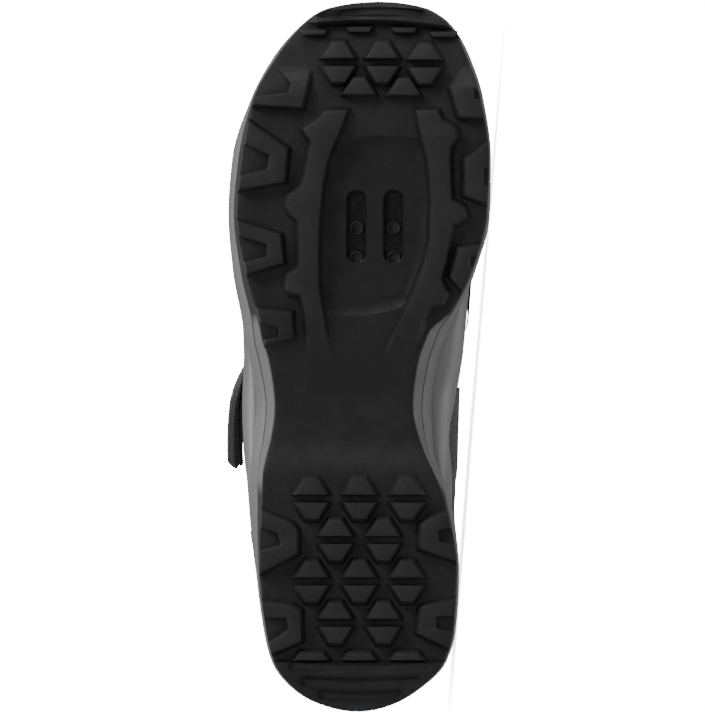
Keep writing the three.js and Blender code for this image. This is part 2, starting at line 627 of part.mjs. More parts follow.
const topLine = curve(TOP_LINE, 'up', (row) => row.at);
const topSteps = stationsBetween(TOP_LINE[0].at, TOP_LINE.at(-1).at, 14);
const topLineZ = (at) => topLine(at) * INSTEP_HEIGHT;

function aboveTopLine(drop, steps = topSteps) {
  const line = steps.map((at) => [at * LENGTH, topLineZ(at) - drop]);
  const high = 2 * INSTEP_HEIGHT;
  return sideBlock([...line, [steps.at(-1) * LENGTH, high], [steps[0] * LENGTH, high]]);
}

const THROAT_FRONT = 0.735;
const THROAT_REAR = 0.38;
const TONGUE_FRONT = 0.765;
const TONGUE_REAR = 0.375;

function throatCorners() {
  const ridgeAt = (share) => last.ridge(stationOf(share)) * BALL_WIDTH;
  const front = THROAT_FRONT * LENGTH;
  const rear = THROAT_REAR * LENGTH;
  const nose = THROAT_FRONT_WIDTH / 2;
  const corners = [];
  for (let i = 0; i <= 8; i += 1) {
    const angle = Math.PI / 2 - (Math.PI * i) / 8;
    corners.push([front - nose + nose * Math.cos(angle), ridgeAt(THROAT_FRONT) + nose * Math.sin(angle)]);
  }
  return [
    ...corners,
    [rear, ridgeAt(THROAT_REAR) - THROAT_REAR_WIDTH / 2],
    [rear, ridgeAt(THROAT_REAR) + THROAT_REAR_WIDTH / 2],
  ];
}

const TOE_CAP_AT = 0.875;
const TOE_CAP_SWEEP = 0.03;
const COUNTER_AT = 0.235;
const COUNTER_SWEEP = 0.06;
const COUNTER_UP = 0.7;
const CUFF_FRONT = 0.4;

function makeUpper() {
  const outer = lastSolid(0);
  const raised = lastSolid(OVERLAY);
  const cuffed = lastSolid(CUFF_STEP);
  const top = 2 * INSTEP_HEIGHT;
  const toeCap = raised.intersect(sideBlock([
    [TOE_CAP_AT * LENGTH, 0],
    [2 * LENGTH, 0],
    [2 * LENGTH, top],
    [(TOE_CAP_AT + TOE_CAP_SWEEP) * LENGTH, INSTEP_HEIGHT],
  ]));
  const counter = raised.intersect(sideBlock([
    [-LENGTH, 0],
    [(COUNTER_AT + COUNTER_SWEEP) * LENGTH, 0],
    [COUNTER_AT * LENGTH, COUNTER_UP * INSTEP_HEIGHT],
    [-LENGTH, (COUNTER_UP + COUNTER_AT) * INSTEP_HEIGHT],
  ]));
  const cuff = cuffed.intersect(aboveTopLine(CUFF_DEPTH, topSteps.filter((at) => at < CUFF_FRONT)));
  const inner = lastSolid(-WALL, LUG_DEPTH);
  return join([outer, toeCap, counter, cuff])
    .subtract(inner)
    .subtract(aboveTopLine(0))
    .subtract(block(throatCorners(), HEEL_STACK * 1.5, top));
}

function makeTongue() {
  const outer = lastSolid(-WALL - FIT);
  const inner = lastSolid(-WALL - FIT - TONGUE_THICKNESS, LUG_DEPTH);
  const ridgeAt = (share) => last.ridge(stationOf(share)) * BALL_WIDTH;
  const [front, rear] = [TONGUE_FRONT * LENGTH, TONGUE_REAR * LENGTH];
  const [wide, narrow] = [TONGUE_REAR_WIDTH / 2, TONGUE_FRONT_WIDTH / 2];
  const plan = block([
    [front, ridgeAt(TONGUE_FRONT) - narrow],
    [front, ridgeAt(TONGUE_FRONT) + narrow],
    [rear + wide / 2, ridgeAt(TONGUE_REAR) + wide],
    [rear, ridgeAt(TONGUE_REAR) + wide * 0.6],
    [rear, ridgeAt(TONGUE_REAR) - wide * 0.6],
    [rear + wide / 2, ridgeAt(TONGUE_REAR) - wide],
  ], HEEL_STACK * 1.5, 2 * INSTEP_HEIGHT);
  return outer.subtract(inner).intersect(plan);
}

// How far the last's skin, moved by grow, stands from the ridge line at a height above the feather edge
function reachAt(t, side, grow, height) {
  const sign = side === 'Out' ? -1 : 1;
  const ridge = last.ridge(t) * BALL_WIDTH;
  const feather = sign * (outline[`feather${side}`](t) * BALL_WIDTH - ridge) - FEATHER_INSET + grow;
  const bulge = sign * (last[side.toLowerCase()](t) * BALL_WIDTH - ridge) + grow;
  const rise = last.rise(t) * INSTEP_HEIGHT;
  const top = last.height(t) * INSTEP_HEIGHT + grow;
  if (height < rise) return feather + (bulge - feather) * Math.sin(Math.acos(1 - height / rise));
  const share = Math.min(1, (height - rise) / (top - rise));
  return bulge * (1 - share ** last.full(t)) ** (1 / last.full(t));
}

function makeInsole() {
  const grow = -WALL - 2 * FIT;
  const first = stationOf((FIRST_STATION ** 2 * LENGTH * 2 - grow) / LENGTH);
  const edge = (t, side, height) => {
    const sign = side === 'Out' ? -1 : 1;
    const fade = Math.max(0, 1 - shareOf(t) / HEEL_CURVE_REACH);
    const x = LENGTH * shareOf(t) + HEEL_CURVE[0].lean * LENGTH * fade * fade;
    const reach = Math.max(reachAt(t, side, grow, height), RIDGE_HALF);
    return new THREE.Vector3(x, last.ridge(t) * BALL_WIDTH + sign * reach, featherZ(t) + GAP + height);
  };
  return loft(stationsBetween(first, 1 - first).map((t) => [
    edge(t, 'Out', 0),
    edge(t, 'Out', INSOLE_THICKNESS),
    edge(t, 'In', INSOLE_THICKNESS),
    edge(t, 'In', 0),
  ]));
}

// Leaning band seen from the side: centre at the ground, its width square to its lean
function leaningBand(footX, width, lowZ, highZ) {
  const slope = Math.tan(THREE.MathUtils.degToRad(STRAP_LEAN));
  const half = width / 2 / Math.cos(THREE.MathUtils.degToRad(STRAP_LEAN));
  const x = (z) => footX + z * slope;
  return [[x(lowZ) - half, lowZ], [x(lowZ) + half, lowZ], [x(highZ) + half, highZ], [x(highZ) - half, highZ]];
}

const INSTEP_STRAP_AT = 0.27;
const FOREFOOT_STRAP_AT = 0.5;
const STRAP_ENDS = {
  instepOut: 1.65, instepIn: 1.75, freeEnd: 2.45, forefootOut: 1.75, forefootIn: 1.1,
};

// Band over the instep or forefoot: its outer end stands at one height and its inner end at another
function strapBand(footShare, width, thickness, outLow, inLow) {
  const middle = last.ridge(stationOf(THROAT_REAR)) * BALL_WIDTH;
  const high = 2 * INSTEP_HEIGHT;
  const side = (low, from, to) => sideBlock(leaningBand(footShare * LENGTH, width, low, high), from, to);
  const slab = side(outLow, -BALL_WIDTH, middle + width / 4).add(side(inLow, middle - width / 4, BALL_WIDTH));
  return lastSolid(GAP + thickness).subtract(lastSolid(GAP, LUG_DEPTH)).intersect(slab);
}

function makeInstepStrap() {
  const outLow = STRAP_ENDS.instepOut * HEEL_STACK;
  const inLow = STRAP_ENDS.instepIn * HEEL_STACK;
  const lap = STRAP_ENDS.freeEnd * HEEL_STACK;
  const band = strapBand(INSTEP_STRAP_AT, INSTEP_STRAP_WIDTH, STRAP_THICKNESS, outLow, inLow);
  const thick = strapBand(INSTEP_STRAP_AT, INSTEP_STRAP_WIDTH, FREE_END_THICKNESS, outLow, inLow);
  const freeEnd = thick.intersect(sideBlock([
    [-LENGTH, 0], [2 * LENGTH, 0], [2 * LENGTH, lap], [-LENGTH, lap],
  ], -BALL_WIDTH, 0));
  return band.add(freeEnd);
}

function makeForefootStrap() {
  const outLow = STRAP_ENDS.forefootOut * HEEL_STACK;
  const inLow = STRAP_ENDS.forefootIn * HEEL_STACK;
  return strapBand(FOREFOOT_STRAP_AT, FOREFOOT_STRAP_WIDTH, STRAP_THICKNESS, outLow, inLow);
}

// Materials: colour, roughness, metalness, and the density in g/cm3 that the rest pose needs
const RUBBER = { color: 0x232325, roughness: 0.7, metalness: 0, density: 1.15 };
const FOAM = { color: 0x5c5c5f, roughness: 0.6, metalness: 0, density: 0.5 };
const STEEL = { color: 0xb4b6ba, roughness: 0.35, metalness: 1, density: 7.8 };
const LINING = { color: 0x2b2b2d, roughness: 0.95, metalness: 0, density: 0.3 };
const SYNTHETIC = { color: 0x77787a, roughness: 0.5, metalness: 0, density: 0.7 };
const WEBBING = { color: 0x1c1c1e, roughness: 0.95, metalness: 0, density: 0.8 };

const PIECES = [
  { name: 'outsole', solid: makeOutsole(), material: RUBBER },
  { name: 'midsole', solid: makeMidsole(), material: FOAM },
  { name: 'cleat_plate', solid: makeCleatPlate(), material: STEEL },
  { name: 'insole', solid: makeInsole(), material: LINING },
  { name: 'upper', solid: makeUpper(), material: SYNTHETIC },
  { name: 'tongue', solid: makeTongue(), material: LINING },
  { name: 'strap_instep', solid: makeInstepStrap(), material: WEBBING },
  { name: 'strap_forefoot', solid: makeForefootStrap(), material: WEBBING },
];

const shoe = new THREE.Group();
for (const piece of PIECES) {
  const { color, roughness, metalness } = piece.material;
  const mesh = new THREE.Mesh(
    toGeometry(piece.solid),
    new THREE.MeshStandardMaterial({ color, roughness, metalness }),
  );
  mesh.name = piece.name;
  shoe.add(mesh);
}

// Rest pose: the hull face on the inner side that the centre of mass stands over becomes the underside
function verticesOf(geometry) {
  const position = geometry.attributes.position;
  const vertex = (_, i) => new THREE.Vector3().fromBufferAttribute(position, i);
  return Array.from({ length: position.count }, vertex);
}

function centreOfMass() {
  const sum = new THREE.Vector3();
  let mass = 0;
  shoe.children.forEach((mesh, k) => {
    const points = verticesOf(mesh.geometry);
    const index = mesh.geometry.index.array;
    for (let i = 0; i < index.length; i += 3) {
      const [a, b, c] = [points[index[i]], points[index[i + 1]], points[index[i + 2]]];
      const weight = (a.dot(b.clone().cross(c)) / 6) * PIECES[k].material.density;
      sum.addScaledVector(a.clone().add(b).add(c), weight / 4);
      mass += weight;
    }
  });
  return sum.divideScalar(mass);
}

function restingNormal() {
  const hull = new ConvexHull().setFromPoints(shoe.children.flatMap((mesh) => verticesOf(mesh.geometry)));
  const centre = centreOfMass();
  const carries = (face) => {
    const edges = [face.edge, face.edge.next, face.edge.prev];
    return edges.every((edge) => {
      const tail = edge.tail().point;
      const side = edge.head().point.clone().sub(tail).cross(centre.clone().sub(tail));
      return side.dot(face.normal) >= 0;
    });
  };
  const candidates = hull.faces.filter((face) => face.normal.y > 0.7 && carries(face));
  return candidates.sort((a, b) => b.normal.y - a.normal.y)[0].normal.clone();
}

function layDown() {
  const up = restingNormal().negate();
  const toe = new THREE.Vector3(1, 0, 0).projectOnPlane(up).normalize();
  const across = up.clone().cross(toe);
  const basis = new THREE.Matrix4().makeBasis(toe, across, up);
  shoe.quaternion.setFromRotationMatrix(basis.transpose());
  shoe.updateMatrixWorld(true);
  const box = new THREE.Box3().setFromObject(shoe, true);
  const centre = box.getCenter(new THREE.Vector3());
  shoe.position.set(-centre.x, -centre.y, -box.min.z);
}

layDown();

export default shoe;
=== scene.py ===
import json
import math

import bmesh
import bpy
import numpy as np
from mathutils import Matrix, Vector


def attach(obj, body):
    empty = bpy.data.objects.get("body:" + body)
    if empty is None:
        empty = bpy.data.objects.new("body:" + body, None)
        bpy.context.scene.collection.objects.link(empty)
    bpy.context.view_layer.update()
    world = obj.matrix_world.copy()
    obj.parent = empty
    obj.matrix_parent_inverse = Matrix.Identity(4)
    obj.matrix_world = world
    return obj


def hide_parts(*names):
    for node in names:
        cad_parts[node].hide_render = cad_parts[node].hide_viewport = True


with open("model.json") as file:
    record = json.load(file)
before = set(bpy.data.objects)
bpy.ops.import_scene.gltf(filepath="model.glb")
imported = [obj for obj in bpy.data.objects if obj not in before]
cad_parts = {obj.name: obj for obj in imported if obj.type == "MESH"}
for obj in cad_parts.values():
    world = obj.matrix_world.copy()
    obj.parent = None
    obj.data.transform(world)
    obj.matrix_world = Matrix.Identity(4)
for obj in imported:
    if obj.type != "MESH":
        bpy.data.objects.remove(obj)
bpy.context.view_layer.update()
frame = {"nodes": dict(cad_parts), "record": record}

# Driving dimensions in millimetres
LENGTH = 268
BALL_WIDTH = 98.7
HEEL_STACK = 29
INSTEP_HEIGHT = 92
LUG_DEPTH = 4.5
GAP = 0.3
RECESS_DEPTH = 2
NOTCH_DEPTH = 3
LUG_ROOT = 0.8
LUG_BEVEL = 0.5
PAIR_WIDTH = 12.1
PAIR_TIP = 4.6
PAIR_HALF_LENGTH = 6
PAIR_GROOVE = 3
HEEL_PITCH_ALONG = 15.6
HEEL_PITCH_ACROSS = 18
HEEL_ROWS = 4
HEEL_FIRST_PAIR = 0.3
HEEL_MIDDLE = -0.01
BOLT_PITCH = 14
BOLT_ROWS_APART = 11.3
THREAD_BORE = 5
SLOT_WIDTH = 7
SLOT_LENGTH = 27.2
WALL = 2.4
OVERLAY = 0.9
CUFF_STEP = 2.2
CUFF_DEPTH = 17
COLLAR_DEPTH = 26
FEATHER_INSET = 1
GROOVE_INSET = 0.9
BAND_BULGE = 0.6
THROAT_FRONT_WIDTH = 26
THROAT_REAR_WIDTH = 38
TONGUE_THICKNESS = 5
TONGUE_FRONT_WIDTH = 34
TONGUE_REAR_WIDTH = 50
FIT = 0.4
INSOLE_THICKNESS = 4
STRAP_THICKNESS = 2.3
INSTEP_STRAP_WIDTH = 27
FOREFOOT_STRAP_WIDTH = 24
STRAP_LEAN = 38
CLEAT_AT = 0.683
CLEAT_ACROSS = 0.049
BOLTS_AT = 0.66
RECESS_FRONT = 0.805
THROAT_FRONT = 0.735
THROAT_REAR = 0.38
TONGUE_FRONT = 0.765
TONGUE_REAR = 0.375
TOE_CAP_AT = 0.875
TOE_CAP_SWEEP = 0.03
COUNTER_AT = 0.235
COUNTER_SWEEP = 0.06
COUNTER_UP = 0.7
HEEL_CURVE_REACH = 0.3
HEEL_PAD_AT = 0.069

# Places of the straps: shares of LENGTH where each meets the ground line, and the heights of their ends
INSTEP_STRAP_AT = 0.27
FREE_END_AT = 0.268
FOREFOOT_STRAP_AT = 0.5
INSTEP_ENDS = {-1: 1.65 * HEEL_STACK, 1: 1.75 * HEEL_STACK}
FOREFOOT_ENDS = {-1: 1.75 * HEEL_STACK, 1: 1.1 * HEEL_STACK}
FREE_END_TOP = 2.45 * HEEL_STACK
FREE_END_LENGTH = 34

# The strap's free end: thickness over the strap below it, by share of the width from the rear edge
FREE_END_SHARES = [0, 0.02, 0.25, 0.5, 0.75, 0.84, 0.93, 0.985, 1]
FREE_END_THICK = [3.3, 3.9, 3.5, 2.9, 2.0, 1.4, 0.7, 0.15, 0]
FREE_END_COLUMNS = [0, 0.006, 0.02, 0.05, 0.1, 0.18, 0.26, 0.35, 0.45,
                    0.55, 0.65, 0.74, 0.81, 0.87, 0.92, 0.96, 0.985, 1]

# Threaded collars of the cleat plate
NUT_RADIUS = 2.55
NUT_HEIGHT = 3.0
NUT_BORE = THREAD_BORE / 2 - 0.55
THREAD_PITCH = 0.7
THREAD_DEPTH = 0.22
NUT_SIDES = 32

# Side band: (share of its height, how far it is drawn in)
BAND_LEVELS = [
    (0.0, GROOVE_INSET + 0.3), (0.02, 0.6), (0.045, 0.25), (0.075, 0.05), (0.11, 0.0), (0.3, -0.35),
    (0.55, -BAND_BULGE), (0.75, -0.5), (0.86, -0.35), (0.9, -0.2), (0.92, -0.2), (0.95, -0.42),
    (0.98, -0.2), (1.0, 0.3),
]

# Cleat recess and slots: (height, how far the ring stands out there)
RECESS_FLOOR = LUG_DEPTH + RECESS_DEPTH
RECESS_LEVELS = [
    (-1, 1.6), (LUG_DEPTH - 0.3, 1.2), (LUG_DEPTH + 0.25, 0.55), (LUG_DEPTH + 0.9, -0.3),
    (LUG_DEPTH + 1.5, -1.5), (LUG_DEPTH + 1.85, -2.8), (RECESS_FLOOR, -4.2),
]
SLOT_LEVELS = [
    (-2, 0.7), (RECESS_FLOOR, 0.55), (RECESS_FLOOR + 0.35, 0.12), (RECESS_FLOOR + 1, 0.0), (HEEL_STACK, 0.0),
]

# Creases: over the vamp (share of LENGTH, lean, width, depth), at the ankle (share, height, width, depth)
VAMP_CREASES = [
    (0.71, 0.24, 4.6, -1.3), (0.685, 0.1, 4.0, -0.9), (0.745, 0.34, 4.2, -0.8), (0.66, -0.18, 4.4, -0.7),
]
ANKLE_CREASES = [(0.33, 58, 5.5, -0.8), (0.29, 68, 5.0, -0.6), (0.13, 62, 6.0, -0.5)]

# One stitch: (place along it, share of the thread's radius, lift off the surface)
STITCH = [(-0.1, 0.35, -0.25), (0.12, 0.9, 0.05), (0.5, 1.0, 0.14), (0.88, 0.9, 0.05), (1.1, 0.35, -0.25)]

# Sole outline: share of LENGTH from the heel, then shares of BALL_WIDTH at the tread and at the feather edge
OUTLINE = ("at treadOut treadIn featherOut featherIn", [
    (0.0, -0.015, -0.015, -0.015, -0.015),
    (0.03, -0.248, 0.205, -0.256, 0.214),
    (0.07, -0.335, 0.312, -0.342, 0.32),
    (0.115, -0.365, 0.348, -0.374, 0.355),
    (0.2, -0.391, 0.362, -0.404, 0.368),
    (0.3, -0.38, 0.313, -0.43, 0.335),
    (0.37, -0.352, 0.232, -0.418, 0.27),
    (0.43, -0.331, 0.193, -0.4, 0.262),
    (0.5, -0.354, 0.214, -0.43, 0.292),
    (0.535, -0.378, 0.248, -0.45, 0.33),
    (0.56, -0.394, 0.327, -0.462, 0.36),
    (0.62, -0.441, 0.417, -0.492, 0.43),
    (0.7, -0.476, 0.475, -0.509, 0.486),
    (0.78, -0.454, 0.484, -0.494, 0.489),
    (0.86, -0.415, 0.452, -0.425, 0.463),
    (0.92, -0.323, 0.397, -0.34, 0.413),
    (0.965, -0.228, 0.334, -0.236, 0.344),
    (0.99, -0.13, 0.24, -0.135, 0.252),
    (1.0, 0.069, 0.069, 0.069, 0.069),
])

# Side profile of the sole: shares of HEEL_STACK, lug a share of LUG_DEPTH
PROFILE = ("at tread lug split feather", [
    (0.0, 0.16, 1, 0.55, 1.02),
    (0.045, 0.03, 1, 0.49, 1.0),
    (0.08, 0.0, 1, 0.47, 1.0),
    (0.3, 0.0, 1, 0.47, 0.98),
    (0.335, 0.0, 1, 0.48, 0.97),
    (0.385, 0.28, 0.1, 0.53, 0.95),
    (0.43, 0.3, 0.07, 0.57, 0.93),
    (0.49, 0.24, 0.1, 0.52, 0.85),
    (0.515, 0.16, 0.35, 0.49, 0.81),
    (0.56, 0.02, 0.95, 0.43, 0.76),
    (0.6, 0.0, 1, 0.39, 0.72),
    (0.7, 0.0, 1, 0.36, 0.67),
    (0.8, 0.0, 1, 0.38, 0.69),
    (0.86, 0.06, 1, 0.44, 0.74),
    (0.92, 0.17, 1, 0.56, 0.84),
    (0.965, 0.32, 1, 0.7, 0.96),
    (1.0, 0.5, 1, 0.84, 1.07),
])

# Last: out, in and ridge are shares of BALL_WIDTH, rise and height of INSTEP_HEIGHT, full the section's power
LAST = ("at out in ridge rise height full", [
    (0.0, -0.015, -0.015, -0.015, 0.17, 1.0, 2.6),
    (0.03, -0.25, 0.207, -0.015, 0.17, 1.0, 2.6),
    (0.07, -0.33, 0.304, -0.014, 0.17, 1.0, 2.5),
    (0.115, -0.365, 0.336, -0.013, 0.17, 1.0, 2.5),
    (0.2, -0.398, 0.356, -0.012, 0.17, 1.0, 2.5),
    (0.3, -0.433, 0.345, -0.01, 0.17, 1.0, 2.5),
    (0.37, -0.455, 0.349, 0.0, 0.17, 0.98, 2.5),
    (0.43, -0.46, 0.355, 0.01, 0.17, 0.91, 2.3),
    (0.5, -0.454, 0.387, 0.025, 0.15, 0.79, 2.1),
    (0.56, -0.461, 0.402, 0.04, 0.13, 0.695, 2.0),
    (0.62, -0.488, 0.417, 0.04, 0.11, 0.61, 2.0),
    (0.7, -0.499, 0.462, 0.04, 0.09, 0.51, 2.1),
    (0.78, -0.484, 0.474, 0.045, 0.08, 0.43, 2.2),
    (0.86, -0.415, 0.45, 0.055, 0.07, 0.36, 2.3),
    (0.92, -0.33, 0.4, 0.065, 0.06, 0.3, 2.3),
    (0.965, -0.226, 0.334, 0.069, 0.05, 0.23, 2.3),
    (0.99, -0.125, 0.242, 0.069, 0.04, 0.15, 2.3),
    (1.0, 0.069, 0.069, 0.069, 0.03, 0.07, 2.3),
])

# Back of the heel: lean forward as a share of LENGTH, by share of INSTEP_HEIGHT
HEEL_CURVE = ("at lean", [(0.0, 0.012), (0.2, 0.002), (0.5, 0.012), (0.75, 0.03), (1.0, 0.034)])

# Top line of the collar: share of LENGTH, and height as a share of INSTEP_HEIGHT
TOP_LINE = ("at up", [
    (-0.05, 1.08), (0.03, 1.05), (0.1, 0.98), (0.21, 0.88), (0.31, 0.94), (0.38, 1.09), (0.44, 1.27),
])

# Cleat rails: edges as shares of BALL_WIDTH
RAILS = ("at outInner outOuter inInner inOuter", [
    (0.498, -0.123, -0.196, 0.088, 0.176),
    (0.551, -0.146, -0.213, 0.149, 0.23),
    (0.608, -0.168, -0.237, 0.215, 0.299),
    (0.664, -0.168, -0.241, 0.258, 0.333),
    (0.721, -0.157, -0.234, 0.264, 0.339),
    (0.77, -0.138, -0.211, 0.254, 0.333),
    (0.812, -0.092, -0.192, 0.226, 0.325),
    (0.845, -0.058, -0.142, 0.207, 0.288),
])

# Wings of the rails from front to rear: share of LENGTH of each corner, and how far out it reaches
WINGS = {
    -1: [
        [(0.834, -0.163), (0.819, -0.226), (0.801, -0.191)],
        [(0.738, -0.23), (0.725, -0.28), (0.711, -0.286), (0.702, -0.276), (0.69, -0.241)],
        [(0.616, -0.283), (0.595, -0.286), (0.589, -0.272), (0.587, -0.232)],
    ],
    1: [
        [(0.831, 0.306), (0.822, 0.352), (0.808, 0.36), (0.795, 0.337)],
        [(0.71, 0.387), (0.697, 0.391), (0.688, 0.37), (0.684, 0.341)],
        [(0.59, 0.322), (0.575, 0.303), (0.571, 0.264)],
    ],
}

# Lugs along the edge: where they meet the edge, their inner corners, and their notch, all as [share, across]
EDGE_LUGS = [
    dict(front=0.936, inner=[(0.9436, -0.24), (0.9041, -0.198), (0.8505, -0.23)], rear=0.8547,
         notch=[(0.9125, -0.33), (0.884, -0.268), (0.87, -0.28), (0.866, -0.42)], ramp=(0.908, 0.872)),
    dict(front=0.831, inner=[(0.8166, -0.383), (0.7913, -0.287), (0.746, -0.299)], rear=0.735,
         notch=[(0.8, -0.44), (0.7828, -0.35), (0.763, -0.36), (0.7532, -0.47)]),
    dict(front=0.69, inner=[(0.6714, -0.314), (0.632, -0.303)], rear=0.617,
         notch=[(0.6714, -0.46), (0.6573, -0.36), (0.6403, -0.36), (0.632, -0.45)]),
    dict(front=0.567, inner=[(0.5614, -0.272), (0.526, -0.266)], rear=0.517,
         notch=[(0.5487, -0.375), (0.5416, -0.314), (0.5261, -0.314), (0.5219, -0.375)]),
    dict(front=0.914, inner=[(0.879, 0.337), (0.837, 0.373)], rear=0.836,
         notch=[(0.877, 0.455), (0.875, 0.422), (0.864, 0.424), (0.857, 0.46)], ramp=(0.905, 0.876)),
    dict(front=0.801, inner=[(0.777, 0.394), (0.726, 0.394)], rear=0.715,
         notch=[(0.769, 0.5), (0.765, 0.459), (0.742, 0.459), (0.736, 0.5)]),
    dict(front=0.656, inner=[(0.653, 0.372), (0.611, 0.341)], rear=0.592,
         notch=[(0.646, 0.46), (0.64, 0.408), (0.626, 0.408), (0.62, 0.45)]),
    dict(front=0.283, inner=[(0.2666, -0.276), (0.2553, -0.249), (0.2228, -0.249)], rear=0.195,
         notch=[(0.261, -0.379), (0.251, -0.318), (0.235, -0.306), (0.226, -0.383)]),
    dict(front=0.155, inner=[(0.1509, -0.276), (0.1425, -0.2375), (0.1001, -0.2336)], rear=0.082,
         notch=[(0.1326, -0.36), (0.1326, -0.287), (0.117, -0.276), (0.0959, -0.35)]),
    dict(front=0.283, inner=[(0.272, 0.264), (0.2637, 0.226), (0.2299, 0.222)], rear=0.212,
         notch=[(0.2595, 0.34), (0.2553, 0.287), (0.2397, 0.29), (0.235, 0.35)]),
    dict(front=0.158, inner=[(0.149, 0.24), (0.1453, 0.226), (0.111, 0.211)], rear=0.09,
         notch=[(0.1355, 0.33), (0.134, 0.28), (0.118, 0.28), (0.112, 0.33)]),
]

FORE_PAIRS = [(0.914, -0.09), (0.914, 0.077), (0.912, 0.239)]
FORE_HALVES = [(0.869, -0.011), (0.868, 0.159)]
TOE_BARS = [(0.953, -0.182), (0.957, -0.011), (0.956, 0.161), (0.95, 0.308)]

# Grooves of the toe and heel pads: front and rear as shares of LENGTH, out and in as shares of BALL_WIDTH
PAD_GROOVES = [
    (0.989, 0.983, -0.09, 0.235), (0.974, 0.963, -0.175, 0.335),
    (0.069, 0.058, -0.275, 0.265), (0.047, 0.035, -0.23, 0.215), (0.028, 0.018, -0.165, 0.145),
]

# Rear edge of the toe pad: shares of LENGTH and of BALL_WIDTH
TOE_ARCH = [
    (0.966, 0.325), (0.9695, 0.24), (0.973, 0.15), (0.9745, 0.07), (0.974, -0.03),
    (0.9725, -0.12), (0.971, -0.17),
]


def station_of(share):
    return np.arccos(1 - 2 * np.clip(share, 0, 1)) / np.pi


def share_of(station):
    return (1 - np.cos(np.pi * np.asarray(station))) / 2


def same(value):
    return value


def curve(table, column, place=station_of):
    """Smooth curve through a table's column that never overshoots its rows."""
    names = table[0].split()
    rows = np.array(table[1], float)
    xs, ys = place(rows[:, 0]), rows[:, names.index(column)]
    slopes = np.diff(ys) / np.diff(xs)
    before, after = slopes[:-1], slopes[1:]
    product = before * after
    total = np.where(product > 0, before + after, 1.0)
    inner = np.where(product > 0, 2 * product / total, 0.0)
    tangents = np.concatenate([slopes[:1], inner, slopes[-1:]])

    def at(x):
        x = np.asarray(x, float)
        i = np.clip(np.searchsorted(xs, x) - 1, 0, len(xs) - 2)
        span = xs[i + 1] - xs[i]
        u = np.clip((x - xs[i]) / span, 0, 1)
        ends = ys[i] * (1 + 2 * u) * (1 - u) ** 2 + ys[i + 1] * u * u * (3 - 2 * u)
        return ends + span * (tangents[i] * u * (1 - u) ** 2 + tangents[i + 1] * u * u * (u - 1))

    return at


def columns(table):
    return {name: curve(table, name) for name in table[0].split()[1:]}


outline = columns(OUTLINE)
profile = columns(PROFILE)
last = columns(LAST)
heel_curve = curve(HEEL_CURVE, "lean", same)
top_line = curve(TOP_LINE, "up", same)
rails = {name: curve(RAILS, name, same) for name in RAILS[0].split()[1:]}
SIDE = {-1: "Out", 1: "In"}
RAIL_SHARES = np.linspace(0.5, 0.84, 40)


def smooth(value):
    value = np.clip(value, 0, 1)
    return value * value * (3 - 2 * value)


def tread_z(t):
    return profile["tread"](t) * HEEL_STACK


def floor_z(t):
    return tread_z(t) + LUG_DEPTH * profile["lug"](t)


def split_z(t):
    return profile["split"](t) * HEEL_STACK


def feather_z(t):
    return profile["feather"](t) * HEEL_STACK


# From the shoe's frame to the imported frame, through the cleat seat that the record states
seat = next(mount for mount in frame["record"]["mounts"] if mount["name"] == "cleat_seat")
SEAT = Vector((183, 4.8, LUG_DEPTH + RECESS_DEPTH))
up = -Vector(seat["axis"]).normalized()
toe = Vector((0, 1, 0)).cross(up).normalized()
toe = toe if toe.x > 0 else -toe
inner_side = up.cross(toe)
turn = Matrix((toe, inner_side, up)).transposed()
to_seat = Matrix.Translation(Vector(seat["pos_m"])) @ turn.to_4x4()
set_down = to_seat @ Matrix.Scale(0.001, 4) @ Matrix.Translation(-SEAT)


def to_row(points):
    points = np.asarray(points, float)
    m = np.array(set_down)
    return points @ m[:3, :3].T + m[:3, 3]


# Meshes
def from_row(piece):
    """A piece's points in the shoe's own millimetres."""
    flat = np.empty(len(piece.data.vertices) * 3)
    piece.data.vertices.foreach_get("co", flat)
    m = np.array(set_down.inverted())
    return flat.reshape(-1, 3) @ m[:3, :3].T + m[:3, 3]


def set_values(mesh, name, values):
    attribute = mesh.attributes.get(name) or mesh.attributes.new(name, "FLOAT", "POINT")
    attribute.data.foreach_set("value", np.asarray(values, np.float32))


def fix_normals(mesh, weld=0.0):
    """Turns the faces outwards, after joining points that are closer than weld metres."""
    bm = bmesh.new()
    bm.from_mesh(mesh)
    if weld:
        bmesh.ops.remove_doubles(bm, verts=bm.verts, dist=weld)
    bmesh.ops.recalc_face_normals(bm, faces=bm.faces)
    bm.to_mesh(mesh)
    bm.free()


def shade(mesh, degrees):
    mesh.shade_smooth()
    mesh.set_sharp_from_angle(angle=math.radians(degrees))


def add_object(name, points, faces, materials, node=None, slot=None, smooth_angle=35, depth=None, uv=None):
    """One visible piece from points in the shoe's frame; it rides with the shoe."""
    mesh = bpy.data.meshes.new(name)
    mesh.from_pydata(to_row(points).tolist(), [], faces)
    if uv is not None:
        layer = mesh.uv_layers.new(name="weave")
        order = np.empty(len(mesh.loops), int)
        mesh.loops.foreach_get("vertex_index", order)
        layer.data.foreach_set("uv", np.asarray(uv, np.float32)[order].reshape(-1))
    for material in materials:
        mesh.materials.append(material)
    # depth carries the rubber's painted shade: darker down lug sides, in the valleys, the cleat recess and
    # the slots.
    if depth is not None:
        set_values(mesh, "depth", depth)
    fix_normals(mesh)
    shade(mesh, smooth_angle)
    piece = bpy.data.objects.new(name, mesh)
    bpy.context.scene.collection.objects.link(piece)
    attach(piece, "root")
    if node:
        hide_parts(node)
    return piece


